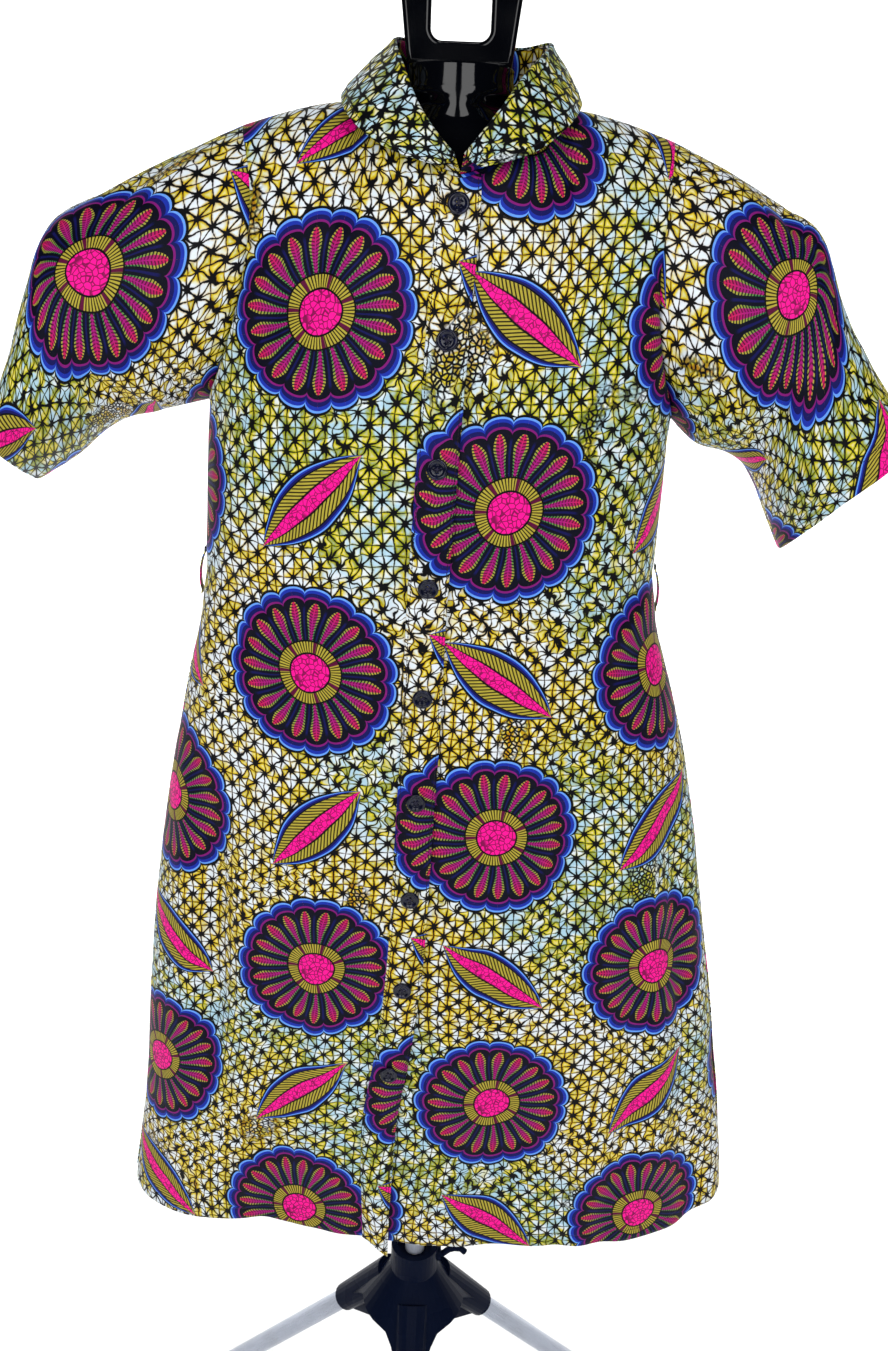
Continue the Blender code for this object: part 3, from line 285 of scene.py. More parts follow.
# Random swell of the cloth: its depth, how much more in the skirt, its scales and its seed.
SWELLS = (
    (0.0006, 0.0010, (15, 15, 3.6), 1.7),
    (0.0006, 0.0, (32, 32, 22), 4.1),
    (0.00022, 0.0, (110, 110, 70), 8.3),
)
SKIRT_TOP, SKIRT_FADE = 0.40, 0.25
YOKE_TOP, YOKE_FADE = 0.02, 0.10
# The fronts pucker beside the band's stitching, and the band holds them flatter.
PUCKER_REACH = 0.030
PUCKER_PITCH = 0.034
PUCKER_DRIFT = 1.2
PUCKER_DEPTH = 0.00050
BAND_STIFFNESS = 0.55
HEM_WAVE, HEM_REACH = 0.0016, 0.030
# A front or half of the back is about this wide, and sinks a little at its side seam.
SHARE_WIDTH = 0.24
SEAM_DENT, SEAM_REACH, SEAM_FADE = 0.0006, 0.0022, 0.020
# Sleeves: side (-1 is the wearer's right), from one turn and way to another.
SLEEVE_CREASES = Table(("side", "turn0", "way0", "turn1", "way1", "depth", "breadth"), (
    (-1, 0.44, 0.10, 0.24, 0.42, 0.0040, 0.012),
    (-1, 0.46, 0.34, 0.26, 0.66, 0.0034, 0.011),
    (-1, 0.03, 0.14, 0.14, 0.56, 0.0028, 0.012),
    (-1, 0.34, 0.72, 0.12, 0.97, 0.0030, 0.010),
    (-1, 0.56, 0.16, 0.78, 0.52, 0.0040, 0.012),
    (-1, 0.60, 0.58, 0.88, 0.86, 0.0034, 0.012),
    (-1, 0.95, 0.20, 0.88, 0.62, 0.0028, 0.012),
    (1, 0.45, 0.08, 0.22, 0.36, 0.0042, 0.012),
    (1, 0.44, 0.38, 0.20, 0.60, 0.0040, 0.012),
    (1, 0.40, 0.66, 0.10, 0.82, 0.0048, 0.011),
    (1, 0.02, 0.22, 0.12, 0.60, 0.0030, 0.013),
    (1, 0.30, 0.82, 0.16, 1.00, 0.0034, 0.010),
    (1, 0.55, 0.12, 0.80, 0.44, 0.0042, 0.012),
    (1, 0.60, 0.50, 0.90, 0.74, 0.0044, 0.012),
    (1, 0.96, 0.26, 0.86, 0.58, 0.0030, 0.012),
))


# ---- small helpers -------------------------------------------------------------------------
def smooth(t):
    """A soft step from 0 to 1."""
    t = np.clip(t, 0.0, 1.0)
    return t * t * (3 - 2 * t)


def hump(away, breadth):
    """A soft hill, 1 where away is nought."""
    return np.exp(-((away / breadth) ** 2))


def hermite(xs, ys, x):
    """A smooth curve through the points (xs, ys), read at x. ys may hold points."""
    x = np.asarray(x, dtype=float)
    slopes = np.gradient(ys, xs, axis=0)
    i = np.clip(np.searchsorted(xs, x, side="right") - 1, 0, len(xs) - 2)
    h = xs[i + 1] - xs[i]
    t = np.clip((x - xs[i]) / h, 0.0, 1.0)
    if ys.ndim > 1:
        h, t = (value.reshape(value.shape + (1,) * (ys.ndim - 1)) for value in (h, t))
    a = 2 * t**3 - 3 * t**2 + 1
    b = t**3 - 2 * t**2 + t
    c = 3 * t**2 - 2 * t**3
    d = t**3 - t**2
    return a * ys[i] + b * h * slopes[i] + c * ys[i + 1] + d * h * slopes[i + 1]


def signed_power(values, power):
    """The power of the size of each value, with its sign kept."""
    return np.sign(values) * np.abs(values) ** power


def unit(vectors):
    return vectors / np.linalg.norm(vectors, axis=-1, keepdims=True)


def swayed(points):
    """Points of the dress as it hangs, a little beside the pole."""
    moved = np.array(points, dtype=float)
    moved[..., 0] += SWAY.read("aside", moved[..., 2])
    return moved


def world(points):
    """From (x, y, drop) about the pole to world coordinates."""
    placed = np.array(points, dtype=float)
    placed[..., 1] += POLE_Y
    placed[..., 2] = SHOULDER_HEIGHT - placed[..., 2]
    return placed


def world_direction(vectors):
    """Directions about the pole, in which drop counts down, as world directions."""
    return np.asarray(vectors, dtype=float) * np.array([1.0, 1.0, -1.0])


def srgb(red, green, blue):
    """A colour given as 0 to 255 on screen, as the linear colour a shader takes."""
    parts = [value / 255 for value in (red, green, blue)]
    return tuple(p / 12.92 if p <= 0.04045 else ((p + 0.055) / 1.055) ** 2.4 for p in parts) + (1.0,)


def running(points):
    """Distance along rows of points, from the first column."""
    steps = np.linalg.norm(np.diff(points, axis=-2), axis=-1)
    return np.concatenate((np.zeros(steps.shape[:-1] + (1,)), np.cumsum(steps, axis=-1)), axis=-1)


def running_down(points):
    """Distance down columns of points, from the first row."""
    return running(points.transpose(1, 0, 2)).transpose(1, 0)


# ---- the dress as one surface --------------------------------------------------------------
def ring_arc(drop, face, share):
    """The plain body at a drop, at shares of the way from its middle to its side seam."""
    width = float(RINGS.read("half_width", drop))
    depth = float(RINGS.read("front" if face < 0 else "back", drop))
    turn = np.linspace(0.0, math.pi / 2, ARC_POINTS)
    x = width * np.sin(turn) ** (2 / SQUARENESS)
    y = depth * np.clip(np.cos(turn), 0.0, 1.0) ** (2 / SQUARENESS)
    length = np.concatenate(([0.0], np.cumsum(np.hypot(np.diff(x), np.diff(y)))))
    along = share * length[-1]
    return np.interp(along, length, x), face * np.interp(along, length, y), width, depth


def collar_point(kind, side, ways):
    """Points on the collar's seam, fold or edge, from the back (0) to the front (1)."""
    names = [kind + "_x", kind + "_y", kind + "_drop"]
    points = np.stack([COLLAR.read(name, ways) for name in names], -1)
    points[:, 0] *= side
    return points


def collar_outward(side, ways):
    """Level directions out from the neck along the collar's fold."""
    step = 0.02
    ahead = collar_point("fold", side, np.minimum(ways + step, 1.0))
    behind = collar_point("fold", side, np.maximum(ways - step, 0.0))
    tangent = ahead - behind
    return unit(np.stack([-tangent[:, 1] * side, tangent[:, 0] * side, np.zeros(len(ways))], -1))


def top_edge(face, share):
    """The top of a front or back: along the neck, then along the shoulder."""
    start = 1.0 if face < 0 else 0.0
    way = start + (0.5 - start) * np.clip(share / NECK_SHARE, 0.0, 1.0)
    neck = collar_point("seam", 1, way)
    centre = collar_point("seam", 1, np.array([start])) * np.array([0.0, 1.0, 1.0])
    near = np.clip(share / CENTRE_BLEND, 0.0, 1.0)[:, None]
    neck = np.where(near < 1.0, centre * (1 - near) + neck * near, neck)
    point = collar_point("seam", 1, np.array([0.5]))[0]
    along = np.clip((share - NECK_SHARE) / (1 - NECK_SHARE), 0.0, 1.0)[:, None]
    shoulder = point + (np.array(SHOULDER_TIP) - point) * along
    shoulder[:, 2] -= SHOULDER_BULGE * np.sin(math.pi * along[:, 0] ** SHOULDER_LEAN)
    return np.where((share <= NECK_SHARE)[:, None], neck, shoulder)


def armhole(face, way):
    """The armhole from the shoulder (0) to the underarm (1); face and way may be arrays."""
    tip = np.array(SHOULDER_TIP)
    side = float(RINGS.read("half_width", UNDERARM))
    bulge = np.sin(math.pi * way)
    round_way = (1 - np.cos(math.pi * way)) / 2
    x = tip[0] + (side - tip[0]) * round_way - ARMHOLE_IN * bulge**2
    y = tip[1] * (1 - round_way) + face * ARMHOLE_DEPTH * bulge
    drop = tip[2] + (UNDERARM - tip[2]) * round_way
    return np.stack([x, y, drop], -1)


def hem_drop(face, side, share):
    """How far down the hem lies."""
    name = "right" if side < 0 else "left"
    if face > 0:
        lift = HEM_LIFT.read(name, 1.0) * smooth((share - BACK_LIFT) / (1 - BACK_LIFT))
        return HEM_SIDE - lift
    return HEM_FRONT + (HEM_SIDE - HEM_FRONT) * share**2 - HEM_LIFT.read(name, share)


def fold_depth(face, side, share, drop):
    """How far the large folds draw the skirt in."""
    total = 0.0
    for row in FOLDS.rows:
        fold = dict(zip(FOLDS.columns, row))
        if fold["face"] != face or fold["side"] != side:
            continue
        across = hump(share - fold["place"], fold["breadth"])
        rise = smooth((drop - fold["top"]) / FOLD_FADE_IN) * smooth((fold["bottom"] - drop) / FOLD_FADE_OUT)
        total = total + fold["depth"] * across * rise
    return total


def side_row(face, side, share, height):
    """Points of one half of the front or back, from its middle to its side seam."""
    if height < 0.0:
        return side_row(-face, side, share, -height)
    if height >= 1.0:
        drop = UNDERARM + (height - 1.0) * (hem_drop(face, side, share) - UNDERARM)
        x, y, width, depth = ring_arc(float(np.mean(drop)), face, share)
        pull = fold_depth(face, side, share, drop)
        outward = unit(np.stack([x / width**2, y / depth**2], -1))
        return np.stack([x - pull * outward[:, 0], y - pull * outward[:, 1], drop], -1)
    top = top_edge(face, share)
    x, y, _, _ = ring_arc(UNDERARM, face, share)
    low = np.stack([x, y, np.full_like(x, UNDERARM)], -1)
    fade = np.array([height, 1 - (1 - height) ** DEPTH_EASE, height**DROP_EASE])
    points = top + (low - top) * fade
    tip = np.array(SHOULDER_TIP)
    corner = np.array([float(RINGS.read("half_width", UNDERARM)), 0.0, UNDERARM])
    straight = tip + (corner - tip) * fade
    return points + (armhole(face, height) - straight) * (share**2)[:, None]


def body_row(face, side, share, height):
    """Points of the dress on one face and side: height 0 top, 1 underarm, 2 hem."""
    share = np.asarray(share, dtype=float)
    across = np.sign(share) + (share == 0)
    reach = np.abs(share)
    past = reach > 1.0
    inside = np.where(past, 2.0 - reach, reach)
    points = side_row(face, side, inside, height)
    if past.any():
        points[past] = side_row(-face, side, inside, height)[past]
    points[:, 0] *= across * side
    return points


def body_normals(face, side, share, height):
    """Directions out of the dress at the points of body_row."""
    step = 0.004
    neck = np.abs(share) < NECK_SHARE
    down = body_row(face, side, share, height + step)
    up = body_row(face, side, share, max(height - step, -1.0) if height != 0 else -step)
    if height == 0.0:
        up = np.where(neck[:, None], body_row(face, side, share, height), up)
    wide = np.where(height < 1.0 - 1e-9, np.minimum(share + step, 1.0), share + step)
    out = body_row(face, side, wide, height)
    into = body_row(face, side, share - step, height)
    return unit(np.cross(out - into, down - up)) * (-face * side)


def sleeve_row(table, way, turns):
    """A ring of a sleeve: turn 0 top, 0.25 front, 0.5 under."""
    def station(at):
        get = table.at(at)
        top = np.array([get["top_x"], SHOULDER_TIP[1] * (1 - at), get["top_drop"]])
        under = np.array([get["under_x"], 0.0, get["under_drop"]])
        angle = 2 * math.pi * turns
        along = signed_power(np.cos(angle), SLEEVE_POWER)[:, None]
        deep = signed_power(np.sin(angle), SLEEVE_POWER)[:, None] * np.array([0, get["depth"], 0])
        lift = np.maximum(np.sin(angle), 0.0)[:, None] * np.array([0, 0, get["lift"]])
        return (top + under) / 2 + (top - under) / 2 * along - deep - lift
    turns = np.asarray(turns) % 1.0
    front = turns <= 0.5
    root = armhole(np.where(front, -1.0, 1.0), np.where(front, 2 * turns, 2 - 2 * turns))
    return station(way) + (root - station(0.0)) * float(1 - smooth(way / CAP_END))


def band_centre(height):
    """Where the middle of the button band is, aside of the pole."""
    if height < 1:
        drop = NECK_DROP + height * (UNDERARM - NECK_DROP)
    else:
        drop = UNDERARM + (height - 1) * (HEM_FRONT - UNDERARM)
    return float(BAND_LINE.read("centre_x", drop))


def front_share(height, x):
    """The share of the front at which it reaches x."""
    probe = np.linspace(0.0, 0.5, 41)
    across = body_row(-1, 1, probe, height)[:, 0]
    return math.copysign(float(np.interp(abs(x), across, probe)), x)


# ---- how the cloth gives -------------------------------------------------------------------
def crease_depth(ax, ay, row, scale=(1.0, 1.0)):
    """One trough with low ridges beside it, tapering to both ends."""
    x0, y0, x1, y1, depth, breadth = row
    x0, x1, ax = x0 * scale[0], x1 * scale[0], ax * scale[0]
    y0, y1, ay = y0 * scale[1], y1 * scale[1], ay * scale[1]
    span = (x1 - x0) ** 2 + (y1 - y0) ** 2
    t = ((ax - x0) * (x1 - x0) + (ay - y0) * (y1 - y0)) / span
    arch = np.sin(math.pi * np.clip(t, 0, 1))
    bow = CREASE_BOW * math.sqrt(span) * arch
    across = ((ax - x0) * (y1 - y0) - (ay - y0) * (x1 - x0)) / math.sqrt(span) - bow
    beyond = np.maximum(np.maximum(-t, t - 1), 0.0) * math.sqrt(span)
    taper = hump(beyond, CREASE_RUN_OUT * breadth) * (CREASE_END_DEPTH + (1 - CREASE_END_DEPTH) * arch)
    shape = hump(across, breadth) - RIDGE_HEIGHT * hump(np.abs(across) - RIDGE_PLACE * breadth, breadth)
    return depth * shape * taper


def rumple(points, scales, seed):
    """Soft random swell at each point, -1 to 1."""
    flat = points.reshape(-1, 3) * np.array(scales)
    values = [noise.noise(Vector((x + seed, y - 3 * seed, z + 7 * seed))) for x, y, z in flat]
    return np.array(values).reshape(points.shape[:-1])


def drape(face, points, share):
    """How far the cloth stands out from the plain surface, the same for pieces on one another."""
    x, drop = points[..., 0], points[..., 2]
    out = np.zeros(x.shape)
    for row in CREASES.rows:
        if row[0] == face:
            out -= crease_depth(x, drop, row[1:])
    skirt = smooth((drop - SKIRT_TOP) / SKIRT_FADE)
    calm = smooth((drop - YOKE_TOP) / YOKE_FADE)
    for depth, more_in_skirt, scales, seed in SWELLS:
        out += calm * (depth + more_in_skirt * skirt) * rumple(points, scales, seed + face)
    if face < 0:
        middle = BAND_LINE.read("centre_x", drop)
        near = hump(x - middle, PUCKER_REACH)
        beat = np.sin(drop * 2 * math.pi / PUCKER_PITCH + PUCKER_DRIFT * np.sin(drop * 23))
        out += calm * near * PUCKER_DEPTH * beat
        out *= 1 - BAND_STIFFNESS * near
    reach = np.abs(share)
    hem = np.where(x < 0, hem_drop(face, -1, reach), hem_drop(face, 1, reach))
    out += hump(hem - drop, HEM_REACH) * HEM_WAVE * rumple(points, (26, 26, 2), 5.5)
    from_seam = (1 - reach) * SHARE_WIDTH
    out -= SEAM_DENT * hump(from_seam, SEAM_REACH)
    return out * np.where(drop < UNDERARM, smooth(from_seam / SEAM_FADE), 1.0)


# ---- meshes --------------------------------------------------------------------------------
MERGE = 1e-6


def grid_mesh(points, uv=None, trim=None, closed=False):
    """A grid made by its operator and moved onto rows of world points, with its maps."""
    rows, columns = points.shape[:2]
    mesh = bmesh.new()
    bmesh.ops.create_grid(mesh, x_segments=columns - 1, y_segments=rows - 1, size=0.5)
    layers = []
    for label, values in (("cloth", uv), ("trim", trim)):
        if values is not None:
            layers.append((mesh.loops.layers.uv.new(label), values))
    place = {}
    for vert in mesh.verts:
        i = round((vert.co.y + 0.5) * (rows - 1))
        j = round((vert.co.x + 0.5) * (columns - 1))
        place[vert] = (i, j)
        vert.co = points[i, j]
    for face in mesh.faces:
        for loop in face.loops:
            for layer, values in layers:
                loop[layer].uv = values[place[loop.vert]]
    if closed:
        bmesh.ops.remove_doubles(mesh, verts=mesh.verts, dist=MERGE)
    return mesh


def skin(data, material, sharp=60):
    """Gives a mesh its material and smooth shading, with edges over the sharp angle kept."""
    data.shade_smooth()
    data.set_sharp_from_angle(angle=math.radians(sharp))
    data.materials.append(material)
    return data


def add_object(name, data):
    """A new object in the scene."""
    made = bpy.data.objects.new(name, data)
    bpy.context.scene.collection.objects.link(made)
    return made


def finish(name, mesh, material, sharp=60):
    """Turns a bmesh into a smooth object of that name."""
    data = bpy.data.meshes.new(name)
    mesh.to_mesh(data)
    mesh.free()
    return add_object(name, skin(data, material, sharp))


def turn_out(mesh, points, outward):
    """Faces point the way the outward directions do."""
    rows, columns = points.shape[:2]
    middle = Vector(points[rows // 2, columns // 2])
    face = min(mesh.faces, key=lambda item: (item.calc_center_median() - middle).length)
    face.normal_update()
    if face.normal.dot(Vector(outward[rows // 2, columns // 2])) < 0:
        bmesh.ops.reverse_faces(mesh, faces=mesh.faces)


def sew(node, points, outward, uv, trim, kind="printed_cotton", closed=False, thickness=0.0010):
    """A thin shell of cloth where the dress hangs: its outer face on the points, its wall inwards."""
    placed, directions = world(swayed(points)), world_direction(outward)
    mesh = grid_mesh(placed, uv, trim, closed)
    turn_out(mesh, placed, directions)
    made = finish(node + "_cloth", mesh, look(kind))
    wall = made.modifiers.new("Cloth thickness", "SOLIDIFY")
    wall.thickness = thickness
    wall.offset = -1.0
    wall.use_even_offset = True
    return made


def made_mesh(item):
    """The mesh that an object comes to, with its modifiers."""
    return bpy.data.meshes.new_from_object(item.evaluated_get(bpy.context.evaluated_depsgraph_get()))


def flat_size(points):
    """Width, length and area of the cut that the grid comes from."""
    width = float(running(points)[:, -1].max())
    length = float(running_down(points)[-1].max())
    first = np.cross(points[1:, :-1] - points[:-1, :-1], points[:-1, 1:] - points[:-1, :-1])
    second = np.cross(points[:-1, 1:] - points[1:, 1:], points[1:, :-1] - points[1:, 1:])
    area = float(np.linalg.norm(first, axis=-1).sum() + np.linalg.norm(second, axis=-1).sum()) / 2
    return width, length, min(area, width * length)


def declare(made, node, points):
    """Puts the piece on the form's body and hides the node it stands for; its flat size is worked out but
    not kept.
    """
    width, length, area = flat_size(points)
    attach(made, "form")
    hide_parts(node)


# ---- shader nodes --------------------------------------------------------------------------
class Graph:
    """Short forms for filling a node tree."""

    def __init__(self, tree):
        self.tree = tree

    def feed(self, socket, value):
        """Links a socket, or sets its value."""
        if isinstance(value, bpy.types.NodeSocket):
            self.tree.links.new(value, socket)
        else:
            socket.default_value = value

    def put(self, kind, inputs=None, **settings):
        """A new node with its settings and what goes into it."""
        node = self.tree.nodes.new(kind)
        for key, value in settings.items():
            setattr(node, key, value)
        for key, value in (inputs or {}).items():
            self.feed(node.inputs[key], value)
        return node

    def math(self, operation, *values):
        node = self.put("ShaderNodeMath", operation=operation)
        for socket, value in zip(node.inputs, values):
            self.feed(socket, value)
        return node.outputs[0]

    def times(self, first, second):
        return self.math("MULTIPLY", first, second)

    def over(self, first, second):
        return self.math("DIVIDE", first, second)

    def plus(self, first, second):
        return self.math("ADD", first, second)

    def minus(self, first, second):
        return self.math("SUBTRACT", first, second)

    def least(self, first, second):
        return self.math("MINIMUM", first, second)

    def most(self, first, second):
        return self.math("MAXIMUM", first, second)

    def mix(self, factor, first, second):
        """A blend of two colours."""
        node = self.put("ShaderNodeMix", data_type="RGBA")
        for index, value in ((0, factor), (6, first), (7, second)):
            self.feed(node.inputs[index], value)
        return node.outputs[2]

    def pick(self, factor, first, second):
        """A blend of two numbers."""
        node = self.put("ShaderNodeMix", data_type="FLOAT")
        for index, value in ((0, factor), (2, first), (3, second)):
            self.feed(node.inputs[index], value)
        return node.outputs[0]

    def ease(self, value, low, high, first=0.0, last=1.0):
        """From first to last as the value goes from low to high."""
        node = self.put("ShaderNodeMapRange", interpolation_type="SMOOTHSTEP")
        for index, entry in enumerate((value, low, high, first, last)):
            self.feed(node.inputs[index], entry)
        return node.outputs[0]

    def fade(self, value, low, high):
        """From 1 to 0 as the value goes from low to high."""
        return self.ease(value, low, high, 1.0, 0.0)

    def noise(self, vector, size, detail=1.0):
        """Noise whose patches are about that size in metres."""
        node = self.put("ShaderNodeTexNoise", {"Vector": vector, "Scale": 1 / size, "Detail": detail})
        return node.outputs["Fac"]

    def cracks(self, vector, scale, dimensions="3D"):
        """Distance from the lines between random cells."""
        node = self.put(
            "ShaderNodeTexVoronoi", {"Vector": vector, "Scale": scale},
            feature="DISTANCE_TO_EDGE", voronoi_dimensions=dimensions,
        )
        return node.outputs["Distance"]

    def vector_math(self, operation, first, second):
        key = "Scale" if operation == "SCALE" else 1
        node = self.put("ShaderNodeVectorMath", {0: first, key: second}, operation=operation)
        return node.outputs[0]

    def stretch(self, vector, across, down=1.0, deep=1.0):
        return self.vector_math("MULTIPLY", vector, (across, down, deep))

    def wobble(self, vector, size, amount):
        """The vector pushed about by noise, as a hand-cut pattern is."""
        node = self.put("ShaderNodeTexNoise", {"Vector": vector, "Scale": 1 / size, "Detail": 0.0})
        centred = self.vector_math("SUBTRACT", node.outputs["Color"], (0.5, 0.5, 0.5))
        return self.vector_math("ADD", vector, self.vector_math("SCALE", centred, amount))

    def place(self):
        return self.put("ShaderNodeTexCoord").outputs["Object"]

    def split(self, vector):
        node = self.put("ShaderNodeSeparateXYZ", {0: vector})
        return node.outputs[0], node.outputs[1]

    def join(self, x, y):
        return self.put("ShaderNodeCombineXYZ", {0: x, 1: y}).outputs[0]

    def ramp(self, value, stops):
        """The colour of the last stop that the value has passed."""
        node = self.put("ShaderNodeValToRGB", {0: value})
        elements = node.color_ramp.elements
        node.color_ramp.interpolation = "CONSTANT"
        while len(elements) < len(stops):
            elements.new(1.0)
        for element, (place, colour) in zip(elements, stops):
            element.position = place
            element.color = colour
        return node.outputs[0]

    def length(self, x, y):
        return self.math("SQRT", self.plus(self.times(x, x), self.times(y, y)))

    def use(self, name, inputs):
        """A node group and what goes into it."""
        node = self.put("ShaderNodeGroup", node_tree=bpy.data.node_groups[name])
        for key, value in inputs.items():
            self.feed(node.inputs[key], value)
        return node.outputs


def make_group(build, numbers, outputs):
    """A node group with a vector and named numbers going in, filled by the function it is named for."""
    tree = bpy.data.node_groups.new(build.__name__, "ShaderNodeTree")
    tree.interface.new_socket("Vector", in_out="INPUT", socket_type="NodeSocketVector")
    for label, default in numbers.items():
        socket = tree.interface.new_socket(label, in_out="INPUT", socket_type="NodeSocketFloat")
        socket.default_value = default
    for label in outputs:
        kind = "NodeSocketColor" if label == "Color" else "NodeSocketFloat"
        tree.interface.new_socket(label, in_out="OUTPUT", socket_type=kind)
    graph = Graph(tree)
    start = graph.put("NodeGroupInput")
    end = graph.put("NodeGroupOutput")
    for label, value in build(graph, start.outputs).items():
        graph.feed(end.inputs[label], value)


INK = srgb(6, 6, 10)
WHITE = srgb(220, 229, 236)
ICE = srgb(170, 204, 222)
YELLOW = srgb(216, 198, 26)
OLIVE = srgb(126, 140, 26)
AMBER = srgb(176, 112, 12)
SKY = srgb(98, 152, 236)
ROYAL = srgb(24, 46, 160)
DEEP_BLUE = srgb(17, 18, 88)
PURPLE = srgb(122, 20, 112)
NAVY = srgb(7, 8, 26)
TEAL = srgb(6, 28, 30)
MAGENTA = srgb(166, 22, 122)
CRIMSON = srgb(204, 26, 84)
MAROON = srgb(88, 8, 52)
PINK = srgb(246, 16, 146)
GREEN = srgb(58, 128, 66)
GOLD = srgb(172, 158, 56)
BRONZE = srgb(40, 33, 8)


def star_ground(g, inputs):
    """A lattice of inked stars whose rays cut the cloth into small pale cells, a finer net in places."""
    vector, across, down = inputs["Vector"], inputs["Across"], inputs["Down"]
    wide = g.wobble(vector, 0.16, 0.030)
    loose = g.ease(g.noise(vector, 0.10, 1.0), 0.42, 0.60)
    drawn = g.mix(loose, g.wobble(wide, 0.012, 0.0040), g.wobble(wide, 0.0090, 0.0092))
    # Distances to the upright, level and slanting rays, and to the nearest star's middle.
    x, y = g.split(drawn)
    half_a, half_b = g.times(across, 0.5), g.times(down, 0.5)
    px, py = g.over(x, half_a), g.over(y, half_b)
    upright = g.times(g.math("PINGPONG", px, 0.5), half_a)
    level = g.times(g.math("PINGPONG", py, 0.5), half_b)
    rise = g.times(g.plus(px, py), 0.5)
    fall = g.times(g.minus(px, py), 0.5)
    slant = g.over(g.times(g.times(half_a, half_b), 2.0), g.length(half_a, half_b))
    first = g.times(g.math("PINGPONG", rise, 0.5), slant)
    second = g.times(g.math("PINGPONG", fall, 0.5), slant)
    s, t = g.math("WRAP", rise, 0.5, -0.5), g.math("WRAP", fall, 0.5, -0.5)
    star = g.length(
        g.times(g.plus(s, t), half_a), g.times(g.minus(s, t), half_b)
    )
    # The ink: heavy slanting rays that swell into the stars, and hairlines along and across.
    strong = g.least(first, second)
    weak = g.least(g.plus(upright, 0.00012), g.plus(level, 0.00026))
    taper = g.math("EXPONENT", g.over(star, -0.0029))
    ragged = g.times(g.noise(vector, 0.0020, 1.0), 0.00082)
    heavy = g.plus(1.0, g.times(inputs["Cool"], 0.45))
    half_width = g.times(g.plus(g.times(taper, 0.00145), ragged), heavy)
    clear = g.minus(g.least(strong, weak), half_width)
    ink = g.fade(clear, -0.00012, 0.00028)

    # The cells: some filled with a tint, the rest pale with a tinted rim.
    corner = g.join(
        g.plus(g.math("FLOOR", rise), g.times(g.math("FLOOR", px), 0.37)),
        g.plus(g.math("FLOOR", fall), g.times(g.math("FLOOR", py), 0.73)),
    )
    chance = g.put("ShaderNodeTexWhiteNoise", {"Vector": corner}, noise_dimensions="2D").outputs["Value"]
    clump = g.noise(drawn, 0.016, 1.0)
    rare = g.times(inputs["Cool"], 0.07)
    cell = g.ease(
        g.plus(g.times(chance, 0.42), clump), g.plus(0.69, rare), g.plus(0.82, rare),
    )
    lane = g.plus(0.5, g.times(g.math("COSINE", g.times(px, math.pi)), 0.5))
    rank = g.ease(g.noise(vector, 0.15, 0.0), 0.47, 0.58)
    streak = g.times(g.ease(g.plus(lane, clump), 0.98, 1.30), rank)
    side = g.most(g.ease(g.noise(vector, 0.20, 0.0), 0.40, 0.60), inputs["Cool"])
    shadow = g.noise(drawn, 0.011, 0.0)
    warm = g.mix(g.ease(shadow, 0.44, 0.62, 0.0, g.plus(0.30, g.times(side, 0.55))), YELLOW, OLIVE)
    rim = g.ease(clear, 0.0, 0.0015, 0.55, 0.0)
    tint = g.most(g.most(cell, streak), g.times(rim, g.ease(clump, 0.40, 0.55)))
    tint = g.times(tint, g.ease(clear, 0.0005, 0.0028, 1.0, 0.55))
    pale = g.mix(tint, g.mix(g.times(side, g.ease(shadow, 0.30, 0.55)), WHITE, ICE), warm)
    seam = g.times(g.fade(upright, 0.0002, 0.0011), streak)
    pale = g.mix(g.times(seam, 0.85), pale, AMBER)
    edge = g.times(g.fade(clear, 0.0001, 0.0011), g.plus(0.18, g.times(tint, 0.45)))
    pale = g.mix(edge, pale, g.mix(side, AMBER, OLIVE))
    stars = g.mix(ink, pale, INK)

    # A finer net of cracks in place of the stars, here and there.
    gap = g.cracks(wide, 225.0, "2D")
    net = g.fade(g.minus(gap, g.times(ragged, 300.0)), 0.0, 0.16)
    fine = g.mix(net, pale, INK)
    patch = g.ease(g.noise(g.stretch(vector, 1.0, 0.6), 0.085, 1.0), 0.66, 0.71)
    return {"Color": g.mix(patch, stars, fine)}


PETALS = 19


